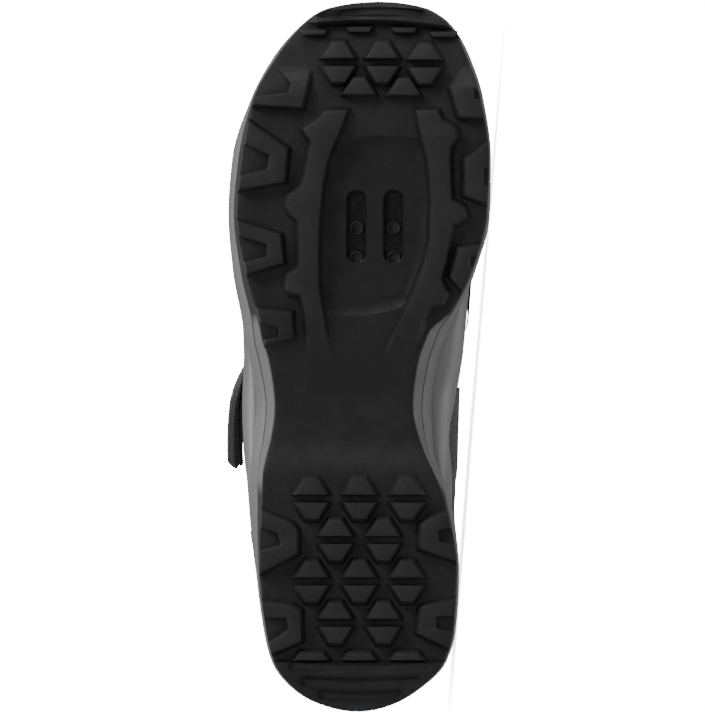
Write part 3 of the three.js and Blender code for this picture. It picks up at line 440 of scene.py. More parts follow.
class Gather:
    """Many small closed meshes that become one piece."""

    def __init__(self):
        self.points, self.faces, self.values, self.uv = [], [], [], []
        self.count = 0

    def add(self, points, faces, value=0.0, uv=None):
        self.points.append(np.asarray(points, float))
        self.faces += [tuple(i + self.count for i in face) for face in faces]
        self.values.append(np.full(len(points), value) if np.isscalar(value) else np.asarray(value))
        self.uv.append(np.zeros((len(points), 2)) if uv is None else np.asarray(uv))
        self.count += len(points)

    def piece(self, name, material, **options):
        points, depth, uv = (np.concatenate(kept) for kept in (self.points, self.values, self.uv))
        return add_object(name, points, self.faces, [material], depth=depth, uv=uv, **options)


def grid_faces(rows, cols):
    """Faces between rings that follow each other, each ring closed."""
    faces = []
    for i in range(rows - 1):
        for k in range(cols):
            n = (k + 1) % cols
            faces.append((i * cols + k, i * cols + n, (i + 1) * cols + n, (i + 1) * cols + k))
    return faces


def closed_loft(rings):
    """Faces over closed rings; each end is closed by joining the two halves of its ring."""
    rows, cols = rings.shape[:2]
    faces = grid_faces(rows, cols)
    for start in (0, (rows - 1) * cols):
        for k in range(cols // 2 - 1):
            faces.append((start + k, start + k + 1, start + cols - 2 - k, start + cols - 1 - k))
    return rings.reshape(-1, 3), faces


# Materials
def make_material(name, colour, roughness, specular=0.5, metallic=0.0):
    material = bpy.data.materials.new(name)
    material.use_nodes = True
    shader = material.node_tree.nodes["Principled BSDF"]
    shader.inputs["Base Color"].default_value = (*colour, 1)
    shader.inputs["Roughness"].default_value = roughness
    shader.inputs["Specular IOR Level"].default_value = specular
    shader.inputs["Metallic"].default_value = metallic
    return material, material.node_tree, shader


def object_coordinates(tree, scale):
    coordinates = tree.nodes.new("ShaderNodeTexCoord")
    mapping = tree.nodes.new("ShaderNodeMapping")
    mapping.inputs["Scale"].default_value = scale if isinstance(scale, tuple) else (scale,) * 3
    tree.links.new(coordinates.outputs["Object"], mapping.inputs["Vector"])
    return mapping.outputs["Vector"]


def noise(tree, vector, scale, detail=3):
    node = tree.nodes.new("ShaderNodeTexNoise")
    node.inputs["Scale"].default_value = scale
    node.inputs["Detail"].default_value = detail
    node.inputs["Roughness"].default_value = 0.55
    tree.links.new(vector, node.inputs["Vector"])
    return node.outputs["Fac"]


def attribute(tree, name):
    node = tree.nodes.new("ShaderNodeAttribute")
    node.attribute_name = name
    return node.outputs["Fac"]


def ramp(tree, value, stops):
    node = tree.nodes.new("ShaderNodeValToRGB")
    elements = node.color_ramp.elements
    while len(elements) < len(stops):
        elements.new(0.5)
    for element, (place, colour) in zip(elements, stops):
        element.position = place
        element.color = (*colour, 1) if isinstance(colour, tuple) else (colour, colour, colour, 1)
    tree.links.new(value, node.inputs["Fac"])
    return node.outputs["Color"]


def bump(tree, shader, layers):
    """Chains height layers, each (value, strength, distance in metres), into the shader's normal."""
    normal = None
    for value, strength, distance in layers:
        node = tree.nodes.new("ShaderNodeBump")
        node.inputs["Strength"].default_value = strength
        node.inputs["Distance"].default_value = distance
        tree.links.new(value, node.inputs["Height"])
        if normal is not None:
            tree.links.new(normal, node.inputs["Normal"])
        normal = node.outputs["Normal"]
    tree.links.new(normal, shader.inputs["Normal"])


def mix_colour(tree, factor, first, second):
    node = tree.nodes.new("ShaderNodeMix")
    node.data_type = "RGBA"
    tree.links.new(factor, node.inputs["Factor"])
    for name, value in (("A", first), ("B", second)):
        socket = [s for s in node.inputs if s.name == name and s.type == "RGBA"][0]
        if isinstance(value, tuple):
            socket.default_value = (*value, 1)
        else:
            tree.links.new(value, socket)
    return [s for s in node.outputs if s.type == "RGBA"][0]


def make_rubber():
    material, tree, shader = make_material("sole_rubber", (0.012, 0.012, 0.013), 0.62, 0.3)
    vector = object_coordinates(tree, 1.0)
    cloud = noise(tree, vector, 60, 4)
    # Painted shade: the depth attribute runs from lit lug tops to shaded valleys, lug roots, the cleat recess
    # and its slots.
    lit_tops = ramp(tree, cloud, [(0.3, (0.0105, 0.0105, 0.0115)), (0.75, (0.016, 0.016, 0.017))])
    shaded_valleys = ramp(tree, cloud, [(0.3, (0.004, 0.004, 0.0045)), (0.75, (0.0075, 0.0075, 0.008))])
    # Painted sheen: the light grey that the wall attribute puts on the side wall of the waist stands in for
    # side light grazing the black rubber.
    sides = ramp(tree, cloud, [(0.3, (0.105, 0.105, 0.108)), (0.75, (0.135, 0.135, 0.138))])
    under = mix_colour(tree, attribute(tree, "depth"), shaded_valleys, lit_tops)
    base = mix_colour(tree, attribute(tree, "wall"), under, sides)
    tree.links.new(base, shader.inputs["Base Color"])
    rough = ramp(tree, noise(tree, vector, 140), [(0.3, 0.52), (0.7, 0.72)])
    tree.links.new(rough, shader.inputs["Roughness"])
    fine = noise(tree, vector, 2600, 2)
    bump(tree, shader, [(fine, 0.25, 0.0001), (noise(tree, vector, 320), 0.12, 0.0004)])
    return material


def make_sidewall():
    material, tree, shader = make_material("side_band", (0.06, 0.06, 0.063), 0.5, 0.4)
    vector = object_coordinates(tree, 1.0)
    cloud = noise(tree, vector, 45, 4)
    side = ramp(tree, cloud, [(0.3, (0.105, 0.105, 0.108)), (0.75, (0.135, 0.135, 0.138))])
    # Painted shadow: near black along the groove line at the band's foot, where the groove attribute is 1.
    groove_shadow = ramp(tree, cloud, [(0.3, (0.006, 0.006, 0.006)), (0.7, (0.012, 0.012, 0.012))])
    base = mix_colour(tree, attribute(tree, "groove"), side, groove_shadow)
    tree.links.new(base, shader.inputs["Base Color"])
    rough = ramp(tree, noise(tree, vector, 160), [(0.3, 0.42), (0.7, 0.6)])
    tree.links.new(rough, shader.inputs["Roughness"])
    bump(tree, shader, [(noise(tree, vector, 2200, 2), 0.2, 0.0001), (noise(tree, vector, 240), 0.1, 0.0004)])
    return material


def make_synthetic():
    material, tree, shader = make_material("upper_synthetic", (0.1, 0.1, 0.105), 0.42, 0.5)
    vector = object_coordinates(tree, 1.0)
    cloud = noise(tree, vector, 30, 4)
    base = ramp(tree, cloud, [(0.3, (0.115, 0.115, 0.118)), (0.75, (0.15, 0.15, 0.154))])
    tree.links.new(base, shader.inputs["Base Color"])
    rough = ramp(tree, noise(tree, vector, 120), [(0.3, 0.36), (0.7, 0.5)])
    tree.links.new(rough, shader.inputs["Roughness"])
    cells = tree.nodes.new("ShaderNodeTexVoronoi")
    cells.inputs["Scale"].default_value = 1300
    tree.links.new(vector, cells.inputs["Vector"])
    shader.inputs["Coat Weight"].default_value = 0.12
    shader.inputs["Coat Roughness"].default_value = 0.35
    bump(tree, shader, [(cells.outputs["Distance"], 0.18, 0.00015), (noise(tree, vector, 180), 0.12, 0.0005)])
    return material


def weave_height(tree, vector, pitch, turn):
    """Crossing threads: two wave patterns a quarter turn apart, mixed cell by cell."""
    rotate = tree.nodes.new("ShaderNodeMapping")
    rotate.inputs["Rotation"].default_value = turn
    tree.links.new(vector, rotate.inputs["Vector"])
    outputs = []
    for direction in ("X", "Y"):
        wave = tree.nodes.new("ShaderNodeTexWave")
        wave.bands_direction = direction
        wave.inputs["Scale"].default_value = 0.314 / pitch
        wave.inputs["Distortion"].default_value = 1.2
        wave.inputs["Detail"].default_value = 2
        wave.inputs["Detail Scale"].default_value = 0.6
        tree.links.new(rotate.outputs["Vector"], wave.inputs["Vector"])
        outputs.append(wave.outputs["Fac"])
    checker = tree.nodes.new("ShaderNodeTexChecker")
    checker.inputs["Scale"].default_value = 0.5 / pitch
    tree.links.new(rotate.outputs["Vector"], checker.inputs["Vector"])
    mix = tree.nodes.new("ShaderNodeMix")
    tree.links.new(checker.outputs["Fac"], mix.inputs[0])
    tree.links.new(outputs[0], mix.inputs[2])
    tree.links.new(outputs[1], mix.inputs[3])
    return mix.outputs[0]


def make_fabric(name, dark, light, pitch, depth, laid=False):
    """Woven cloth; a laid one follows the piece's own weave map instead of its place in space."""
    material, tree, shader = make_material(name, dark, 0.9, 0.2)
    vector = object_coordinates(tree, 1.0)
    if laid:
        weave = tree.nodes.new("ShaderNodeUVMap")
        weave.uv_map = "weave"
        height = weave_height(tree, weave.outputs["UV"], pitch, (0, 0, 0))
    else:
        height = weave_height(tree, vector, pitch, (0.4, 0.7, 0.9))
    fuzz = noise(tree, vector, 900)
    threads = ramp(tree, height, [(0.1, dark), (0.9, light)])
    base = mix_colour(tree, fuzz, threads, dark)
    tree.links.new(base, shader.inputs["Base Color"])
    shader.inputs["Sheen Weight"].default_value = 0.25
    shader.inputs["Sheen Roughness"].default_value = 0.5
    bump(tree, shader, [(height, 0.7, depth), (fuzz, 0.3, depth * 0.5)])
    return material


def make_steel():
    material, tree, shader = make_material("plated_steel", (0.2, 0.2, 0.21), 0.25, 0.5, 1.0)
    vector = object_coordinates(tree, (400.0, 400.0, 4000.0))
    rough = ramp(tree, noise(tree, vector, 1.0), [(0.3, 0.24), (0.7, 0.42)])
    tree.links.new(rough, shader.inputs["Roughness"])
    spots = noise(tree, object_coordinates(tree, 1.0), 300)
    base = ramp(tree, spots, [(0.3, (0.02, 0.02, 0.022)), (0.7, (0.06, 0.06, 0.065))])
    tree.links.new(base, shader.inputs["Base Color"])
    return material


def make_plate():
    material, tree, shader = make_material("blackened_plate", (0.012, 0.012, 0.014), 0.5, 0.3)
    vector = object_coordinates(tree, 1.0)
    rough = ramp(tree, noise(tree, vector, 400), [(0.3, 0.45), (0.7, 0.65)])
    tree.links.new(rough, shader.inputs["Roughness"])
    base = ramp(tree, noise(tree, vector, 90), [(0.3, (0.002, 0.002, 0.003)), (0.7, (0.005, 0.005, 0.007))])
    tree.links.new(base, shader.inputs["Base Color"])
    bump(tree, shader, [(noise(tree, vector, 700), 0.2, 0.0002)])
    return material


rubber = make_rubber()
sidewall = make_sidewall()
synthetic = make_synthetic()
knit_fabric = make_fabric("knit_fabric", (0.035, 0.035, 0.036), (0.12, 0.12, 0.123), 0.0009, 0.0004,
                          laid=True)
lining = make_fabric("lining_fabric", (0.01, 0.01, 0.011), (0.03, 0.03, 0.032), 0.0006, 0.0002)
webbing = make_fabric("strap_webbing", (0.007, 0.007, 0.0075), (0.014, 0.014, 0.015), 0.0009, 0.0002,
                      laid=True)
thread = make_fabric("stitch_thread", (0.03, 0.03, 0.032), (0.08, 0.08, 0.083), 0.0004, 0.0002)
steel = make_steel()
plate_metal = make_plate()


# Sole
MIDDLE_HALF = 0.15
sole_stations = np.linspace(0.01, 0.99, 190)


def waist(t):
    """1 in the narrow middle of the sole, 0 under the ball and the heel."""
    at = share_of(t)
    return smooth((at - 0.29) / 0.05) * smooth((0.56 - at) / 0.05)


def middle_y(t):
    return (outline["treadOut"](t) + outline["treadIn"](t)) * 0.5 * BALL_WIDTH


def sole_y(t, side, z, inset=0.0):
    """Distance across of the sole's side wall at a station and height, side -1 outer and 1 inner."""
    tread = outline["tread" + SIDE[side]](t) * BALL_WIDTH
    feather = outline["feather" + SIDE[side]](t) * BALL_WIDTH
    share = np.clip((z - tread_z(t)) / (feather_z(t) - tread_z(t)), 0, 1.1)
    middle = middle_y(t)
    y = tread + (feather - tread) * share ** (1.3 - 0.55 * waist(t)) - side * inset
    return side * np.maximum(side * (y - middle), 0.3) + middle


def side_sheen_share(points):
    """Painted sheen mask: 1 on the sole's side wall at the waist, painted light grey as if lit from the side,
    0 under the sole.
    """
    x, y, z = points[:, 0], points[:, 1], points[:, 2]
    t = station_of(x / LENGTH)
    middle = middle_y(t)
    total = np.zeros(len(points))
    for side in (-1, 1):
        out = side * (y - sole_y(t, side, z))
        total += np.where((side * (y - middle) > 0) & (out > -0.3) & (z > floor_z(t) + 0.1), 1.0, 0.0)
    at = share_of(t)
    return np.clip(total, 0, 1) * smooth((at - 0.3) / 0.03) * smooth((0.56 - at) / 0.012)


def recess_shade(points):
    """Painted shade: 0.45 on the sole's floor, falling to 0 in the cleat recess and its slots, so that they
    are painted darker.
    """
    x, y, z = points[:, 0], points[:, 1], points[:, 2]
    share = x / LENGTH
    low, high = (np.interp(share, RAIL_SHARES, rails[name](RAIL_SHARES)) * BALL_WIDTH
                 for name in ("outInner", "inInner"))
    inside = (y > low) & (y < high) & (share > 0.54) & (share < 0.82)
    down = np.clip((z - floor_z(station_of(share))) / RECESS_DEPTH, 0, 1)
    return 0.45 * (1 - down * inside)


def half_section(t, side, levels, floor_columns):
    """Middle of the underside round one side to the middle of the top; levels are (z, inset)."""
    low, first = levels[0]
    middle = middle_y(t)
    edge = sole_y(t, side, low, first)
    start = middle + side * MIDDLE_HALF
    points = [(start + (edge - start) * k / floor_columns, low) for k in range(floor_columns)]
    points += [(sole_y(t, side, z, inset), z) for z, inset in levels]
    top_edge, high = points[-1]
    points += [(top_edge + (start - top_edge) * part, high) for part in (0.5, 1)]
    return [(LENGTH * float(share_of(t)), float(y), float(z)) for y, z in points]


def sole_loft(levels_at, floor_columns):
    rings = []
    for t in sole_stations:
        out, inner = (half_section(t, side, levels_at(t), floor_columns) for side in (-1, 1))
        rings.append(out + inner[::-1])
    return closed_loft(np.array(rings))


def rounded(low, high, radius, t, groove=0.0):
    """Levels of a side wall with its lower edge rounded and its upper edge drawn in to the groove."""
    width = abs(outline["treadIn"](t) - outline["treadOut"](t)) * BALL_WIDTH
    radius = min(radius, 0.2 * width)
    levels = []
    for k in range(4):
        a = math.pi / 2 * k / 3
        levels.append((low + radius * (1 - math.cos(a)), radius * (1 - math.sin(a))))
    for k in range(1, 7):
        levels.append((low + radius + (high - 0.7 - low - radius) * k / 6, 0.0))
    levels.append((high - 0.3, 0.1))
    levels.append((high - 0.05, 0.25 + groove * 0.6))
    levels.append((high, 0.4 + groove))
    return levels


def cut(piece, points, faces):
    """Cuts a closed mesh out of a piece."""
    mesh = bpy.data.meshes.new("cutter")
    mesh.from_pydata(to_row(points).tolist(), [], faces)
    fix_normals(mesh)
    cutter = bpy.data.objects.new("cutter", mesh)
    bpy.context.scene.collection.objects.link(cutter)
    modifier = piece.modifiers.new("cut", "BOOLEAN")
    modifier.operation = "DIFFERENCE"
    modifier.solver = "EXACT"
    modifier.object = cutter
    graph = bpy.context.evaluated_depsgraph_get()
    result = bpy.data.meshes.new_from_object(piece.evaluated_get(graph))
    piece.modifiers.clear()
    piece.data = result
    bpy.data.objects.remove(cutter)
    bpy.data.meshes.remove(mesh)


def layered(corners_at, levels):
    """Closed solid through the same ring of corners at several heights."""
    rings = [[(x, y, z) for x, y in corners_at(grow)] for z, grow in levels]
    count = len(rings[0])
    faces = grid_faces(len(rings), count)
    faces.append(tuple(range(count))[::-1])
    faces.append(tuple(range((len(rings) - 1) * count, len(rings) * count)))
    return [p for ring in rings for p in ring], faces


def stadium(x, y, radius, reach):
    corners = []
    for first, centre_x in ((-math.pi / 2, x + reach), (math.pi / 2, x - reach)):
        for k in range(13):
            a = first + math.pi * k / 12
            corners.append((centre_x + radius * math.cos(a), y + radius * math.sin(a)))
    return corners


def offset_polygon(corners, amounts):
    """Corners moved so that each edge, from its corner to the next, stands further out by its amount."""
    points = np.array(corners, float)
    count = len(points)
    x, y = points[:, 0], points[:, 1]
    turn_sign = math.copysign(1, np.sum(x * np.roll(y, -1) - np.roll(x, -1) * y))
    edges = np.roll(points, -1, axis=0) - points
    unit = edges / np.maximum(np.linalg.norm(edges, axis=1), 1e-9)[:, None]
    normals = np.column_stack([unit[:, 1], -unit[:, 0]]) * turn_sign
    moved = []
    for i in range(count):
        n1, n2 = normals[i - 1], normals[i]
        a1, a2 = amounts[i - 1], amounts[i]
        det = n1[0] * n2[1] - n1[1] * n2[0]
        if abs(det) < 0.15:
            moved.append(points[i] + (n1 * a1 + n2 * a2) / 2)
            continue
        moved.append(points[i] + np.array([a1 * n2[1] - a2 * n1[1], a2 * n1[0] - a1 * n2[0]]) / det)
    return np.array(moved)


def onto_sole(points, ramp=None, sink=None):
    """Sets points given as x, y and height above the tread onto the sprung, flared sole."""
    x, y, h = points[:, 0], points[:, 1], points[:, 2]
    share = x / LENGTH
    t = station_of(share)
    if ramp is not None:
        sunk = 1 - smooth((ramp[0] - share) / (ramp[0] - ramp[1]))
        h = np.where(h < LUG_DEPTH, h + (LUG_DEPTH + 0.1 - h) * sunk, h)
    if sink is not None:
        h = np.where(h < LUG_DEPTH, h + (LUG_DEPTH + 0.1 - h) * sink(y), h)
    z = tread_z(t) + h / LUG_DEPTH * (floor_z(t) - tread_z(t))
    middle = middle_y(t)
    moved = y.copy()
    for side in (-1, 1):
        edge = outline["tread" + SIDE[side]](t) * BALL_WIDTH
        near = smooth(1 - np.abs(edge - y) / 6) * (side * (y - middle) > 0)
        moved += near * (sole_y(t, side, z) - edge)
    return np.column_stack([x, moved, z])


def lug_solid(corners, drafts, top=0.0, depth=LUG_DEPTH + LUG_ROOT, bevel=LUG_BEVEL, step=4.0, ramp=None,
              sink=None):
    """Bevelled block with drafted sides, its tread face at height top, bent onto the sole."""
    bm = bmesh.new()
    low = offset_polygon(corners, [d * (depth - top) / LUG_DEPTH for d in drafts])
    face_verts = [bm.verts.new((x, y, top)) for x, y in corners]
    root_verts = [bm.verts.new((x, y, depth)) for x, y in low]
    tread_face = bm.faces.new(face_verts)
    bm.faces.new(root_verts[::-1])
    count = len(corners)
    for i in range(count):
        k = (i + 1) % count
        bm.faces.new((face_verts[k], face_verts[i], root_verts[i], root_verts[k]))
    bmesh.ops.recalc_face_normals(bm, faces=bm.faces)
    bm.normal_update()
    sharp = set(tread_face.edges)
    for edge in bm.edges:
        if edge in sharp or all(v in root_verts for v in edge.verts):
            continue
        if edge.calc_face_angle(0) > 0.5:
            sharp.add(edge)
    bmesh.ops.bevel(bm, geom=list(sharp), offset=bevel, offset_type="OFFSET", segments=2, profile=0.55,
                    affect="EDGES", clamp_overlap=True)
    xs = [v.co.x for v in bm.verts]
    for k in range(int(min(xs) // step) + 1, int(max(xs) // step) + 1):
        geometry = bm.verts[:] + bm.edges[:] + bm.faces[:]
        bmesh.ops.bisect_plane(bm, geom=geometry, plane_co=(k * step, 0, 0), plane_no=(1, 0, 0), dist=1e-4)
    bmesh.ops.triangulate(bm, faces=[f for f in bm.faces if len(f.verts) > 4])
    bm.verts.index_update()
    points = np.array([v.co[:] for v in bm.verts])
    faces = [tuple(v.index for v in f.verts) for f in bm.faces]
    bm.free()
    # Painted shade: the tone is lightest on the tread face and darkens down the sides towards the root.
    value = 0.4 + 0.6 * np.clip(1 - (points[:, 2] / LUG_DEPTH) ** 2, 0, 1)
    return onto_sole(points, ramp, sink), faces, value


def trapezoid(x, y, tip, base, length):
    return [(x, y - base / 2), (x, y + base / 2), (x + length, y + tip / 2), (x + length, y - tip / 2)]


TRAPEZOID_DRAFTS = [0.35, 1.5, 1.7, 1.5]


def hexagon_pair(gather, x, y):
    for sign in (1, -1):
        corners = trapezoid(x + sign * PAIR_GROOVE / 2, y, PAIR_TIP, PAIR_WIDTH, sign * PAIR_HALF_LENGTH)
        gather.add(*lug_solid(corners, TRAPEZOID_DRAFTS))


def edge_points(side, start, end, step=2.0):
    """Points of the tread outline from one share of the length to another, both ends included."""
    t0, t1 = float(station_of(start)), float(station_of(end))
    count = max(2, int(abs(start - end) * LENGTH / step) + 1)
    if start > 0.93 or start < 0.05 or end > 0.93 or end < 0.05:
        count = max(count, int(abs(t0 - t1) * 60) + 2)
    stations = np.linspace(t0, t1, count)
    y = outline["tread" + SIDE[side]](stations) * BALL_WIDTH
    return list(zip(share_of(stations) * LENGTH, y))


def in_mm(corners):
    return [(at * LENGTH, across * BALL_WIDTH) for at, across in corners]


def edge_lug(gather, row):
    side = -1 if row["inner"][0][1] < 0 else 1
    notch = in_mm(row["notch"])
    front_part = edge_points(side, row["notch"][0][0], row["front"])
    rear_part = edge_points(side, row["rear"], row["notch"][3][0])
    inner = in_mm(row["inner"])
    corners, drafts = [], []

    def run(points, draft):
        for point in points:
            corners.append(point)
            drafts.append(draft)

    run(front_part[:-1], 0.0)
    run([front_part[-1]], 1.3)
    run(inner, 1.8)
    drafts[-1] = 1.2
    run(rear_part[:-1], 0.0)
    run([rear_part[-1]], 0.9)
    run([notch[2], notch[1]], 0.9)
    gather.add(*lug_solid(corners, drafts, ramp=row.get("ramp")))
    seat_edge = edge_points(side, row["notch"][3][0], row["notch"][0][0])
    floor_corners = seat_edge + [notch[1], notch[2]]
    floor_drafts = [0.0] * (len(seat_edge) - 1) + [0.4, 0.4, 0.4]
    grown = offset_polygon(floor_corners, [0.0] * (len(seat_edge) - 1) + [0.8, 0.8, 0.8])
    gather.add(*lug_solid([tuple(p) for p in grown], floor_drafts, top=NOTCH_DEPTH, bevel=0.2,
                          ramp=row.get("ramp")))


def rail(gather, side):
    inner_name, outer_name = ("outInner", "outOuter") if side < 0 else ("inInner", "inOuter")
    shares = np.linspace(RAILS[1][0][0], RAILS[1][-1][0], 26)
    wings = WINGS[side]
    inner = [(at, float(rails[inner_name](at))) for at in shares]
    outer = []
    for at in shares[::-1]:
        if any(wing[-1][0] - 0.006 < at < wing[0][0] + 0.006 for wing in wings):
            continue
        outer.append((at, float(rails[outer_name](at))))
    for wing in wings:
        outer += wing
    outer.sort(key=lambda corner: -corner[0])
    corners = in_mm(inner + outer)
    drafts = [1.2] * (len(inner) - 1) + [1.5] + [1.6] * (len(outer) - 1) + [1.6]
    gather.add(*lug_solid(corners, drafts, depth=LUG_DEPTH + RECESS_DEPTH + 0.6, ramp=(0.494, 0.517)))


def recess_ring(grow):
    """Ring of the cleat recess: along the rails, a straight front step and a rounded rear rim."""
    shares = np.linspace(0.585, RECESS_FRONT, 14)

    def along_rail(name, places, out):
        return [(at * LENGTH + grow * smooth((at - 0.78) / 0.02),
                 float(rails[name](at)) * BALL_WIDTH + out) for at in places]

    corners = along_rail("outInner", shares, 0.4 - grow)
    corners.append((RECESS_FRONT * LENGTH + grow + 0.9, 4.8))
    corners += along_rail("inInner", shares[::-1], grow - 0.4)
    for k in range(1, 8):
        a = math.pi * k / 8
        x = 0.585 * LENGTH - grow - 6.6 * math.sin(a) ** 0.6 + 2.4 * math.cos(a)
        corners.append((x, 3.0 + 17.5 * math.cos(a)))
    return corners


def toe_sides(y):
    """How far the toe pad is sunk into the toe floor: its two sides run out into it."""
    across = y / BALL_WIDTH
    return smooth((-0.165 - across) / 0.03) + smooth((across - 0.32) / 0.03)


def long_stadium(radius, reach, steps=16):
    """Stadium round the origin with points along its straight sides too, so that it can be bent."""
    corners = stadium(0, 0, radius, reach)
    half = len(corners) // 2
    upper = [(reach - 2 * reach * k / steps, radius) for k in range(1, steps)]
    lower = [(-reach + 2 * reach * k / steps, -radius) for k in range(1, steps)]
    return corners[:half] + upper + corners[half:] + lower


def build_outsole():
    def levels_at(t):
        return rounded(float(floor_z(t)), float(split_z(t)), 1.1, t, groove=0.5)

    points, faces = sole_loft(levels_at, floor_columns=16)
    body = add_object("outsole_body", points, faces, [rubber], node="outsole", slot="rubber")
    cut(body, *layered(recess_ring, RECESS_LEVELS))
    for across in (-0.5, 0.5):
        y = CLEAT_ACROSS * BALL_WIDTH + across * BOLT_PITCH

        def ring(grow):
            return stadium(CLEAT_AT * LENGTH, y, SLOT_WIDTH / 2 + grow, (SLOT_LENGTH - SLOT_WIDTH) / 2)

        cut(body, *layered(ring, SLOT_LEVELS))
    shade(body.data, 32)
    placed = from_row(body)
    # Painted sheen on the waist's side wall, and painted shade for the floor, the cleat recess and its slots.
    set_values(body.data, "wall", side_sheen_share(placed))
    set_values(body.data, "depth", recess_shade(placed))

    fore = Gather()
    for at, across in FORE_PAIRS:
        hexagon_pair(fore, at * LENGTH, across * BALL_WIDTH)
    for at, across in FORE_HALVES:
        corners = trapezoid(at * LENGTH, across * BALL_WIDTH, PAIR_TIP, PAIR_WIDTH, PAIR_HALF_LENGTH)
        fore.add(*lug_solid(corners, [1.0, 1.0, 1.3, 1.0]))
    for at, across in TOE_BARS:
        corners = trapezoid(at * LENGTH, across * BALL_WIDTH, 9.6, 7.6, 1.9)
        fore.add(*lug_solid(corners, [0.8, 0.8, 0.6, 0.8], top=1.5, bevel=0.45))
    for row in EDGE_LUGS:
        if row["front"] > 0.4:
            edge_lug(fore, row)
    fore.piece("lugs_forefoot", rubber, node="outsole", slot="rubber")

    heel = Gather()
    for row in range(HEEL_ROWS):
        for place in (-0.5, 0.5) if row % 2 else (-1, 0, 1):
            x = HEEL_FIRST_PAIR * LENGTH - row * HEEL_PITCH_ALONG
            hexagon_pair(heel, x, HEEL_MIDDLE * BALL_WIDTH + place * HEEL_PITCH_ACROSS)
    for place in (-1, 0, 1):
        y = HEEL_MIDDLE * BALL_WIDTH + place * HEEL_PITCH_ACROSS
        x = HEEL_FIRST_PAIR * LENGTH - HEEL_ROWS * HEEL_PITCH_ALONG + PAIR_GROOVE / 2
        heel.add(*lug_solid(trapezoid(x, y, 8.5, PAIR_WIDTH, 2.6), TRAPEZOID_DRAFTS))
    for row in EDGE_LUGS:
        if row["front"] < 0.4:
            edge_lug(heel, row)
    heel.piece("lugs_heel", rubber, node="outsole", slot="rubber")

    rail_set = Gather()
    for side in (-1, 1):
        rail(rail_set, side)
    rail_set.piece("cleat_rails", rubber, node="outsole", slot="rubber")

    build_pad("toe_pad", 0.971, 0.964, 1.0, in_mm(TOE_ARCH), PAD_GROOVES[:1], bend=1.6, draft=2.2,
              sink=toe_sides)
    build_pad("heel_pad", HEEL_PAD_AT, HEEL_PAD_AT, 0.0, [], PAD_GROOVES[2:], bend=-0.9, draft=1.0)


def build_pad(name, out_start, in_start, end, rear_edge, grooves, bend, draft, sink=None):
    """Tread pad round one end of the sole, crossed by bent grooves."""
    pad = Gather()
    around = edge_points(-1, out_start, end) + edge_points(1, in_start, end)[-2::-1]
    drafts = [0.0] * (len(around) - 1) + [draft] * (1 + len(rear_edge))
    pad.add(*lug_solid(around + rear_edge, drafts, bevel=0.6, step=2.5, sink=sink))
    piece = pad.piece(name, rubber, node="outsole", slot="rubber")
    for front, rear, out, inner in grooves:
        middle = (front + rear) / 2
        base = tread_z(station_of(middle))
        reach = (inner - out) / 2 * BALL_WIDTH
        wide = (front - rear) / 2 * LENGTH

        def ring(grow):
            flat = long_stadium(wide + grow, reach - wide)
            return [(middle * LENGTH + bend * 0.4 + y - bend * (x / reach) ** 2,
                     (inner + out) / 2 * BALL_WIDTH + x) for x, y in flat][::-1]

        cut(piece, *layered(ring, [(base - 3, 1.6), (base, 0.9), (base + LUG_DEPTH * 0.33, -0.45)]))
    shade(piece.data, 32)


def build_midsole():
    def levels_at(t):
        low, high = float(split_z(t)) + GAP, float(feather_z(t))
        return [(low + (high - low) * share, inset) for share, inset in BAND_LEVELS]

    points, faces = sole_loft(levels_at, floor_columns=2)
    band = add_object("midsole_band", points, faces, [sidewall], node="midsole", slot="sidewall")
    x, y = CLEAT_AT * LENGTH, CLEAT_ACROSS * BALL_WIDTH
    half_long, half_wide, corner = SLOT_LENGTH / 2 + 6.3, (BOLT_PITCH + SLOT_WIDTH) / 2 + 6.3, 3
    quarter = [(half_long, half_wide - corner), (half_long - corner, half_wide)]
    pocket = [(x + a * sx, y + b * sy) for sx, sy in ((1, 1), (-1, 1), (-1, -1), (1, -1))
              for a, b in (quarter if sx * sy > 0 else quarter[::-1])]
    cut(band, *layered(lambda grow: pocket, [(0, 0), (0.39 * HEEL_STACK + 3.6, 0)]))
    placed = from_row(band)
    stations = station_of(placed[:, 0] / LENGTH)
    band_low = split_z(stations) + GAP
    rise = (placed[:, 2] - band_low) / (feather_z(stations) - band_low)
    # Painted shadow in the groove between the outsole and the band.
    set_values(band.data, "groove", 1 - smooth((rise - 0.04) / 0.03))
    shade(band.data, 35)


def build_cleat_nuts():
    """Threaded collars round the four holes of the plate."""
    gather = Gather()
    level = float(split_z(station_of(CLEAT_AT))) + 2 * GAP
    for along in (-0.5, 0.5):
        for across in (-0.5, 0.5):
            x = BOLTS_AT * LENGTH + along * BOLT_ROWS_APART
            y = CLEAT_ACROSS * BALL_WIDTH + across * BOLT_PITCH
            turned = [(NUT_RADIUS, 0.2), (NUT_RADIUS, 0.1 - NUT_HEIGHT), (NUT_RADIUS - 0.1, -NUT_HEIGHT),
                      (NUT_BORE + 0.35, -NUT_HEIGHT), (NUT_BORE, 0.15 - NUT_HEIGHT)]
            turned += [(NUT_BORE + THREAD_DEPTH * (k % 2), 0.1 - NUT_HEIGHT + k * THREAD_PITCH / 2)
                       for k in range(9)]
            turned += [(NUT_BORE, 0.2), turned[0]]
            angles = np.linspace(0, 2 * math.pi, NUT_SIDES + 1)[:-1]
            rings = [[(x + radius * math.cos(a), y + radius * math.sin(a), level + z) for a in angles]
                     for radius, z in turned]
            count = (len(rings) - 1) * NUT_SIDES
            faces = [tuple(i % count for i in face) for face in grid_faces(len(rings), NUT_SIDES)]
            gather.add(np.array(rings[:-1]).reshape(-1, 3), faces)
    gather.piece("cleat_threads", steel, slot="steel")


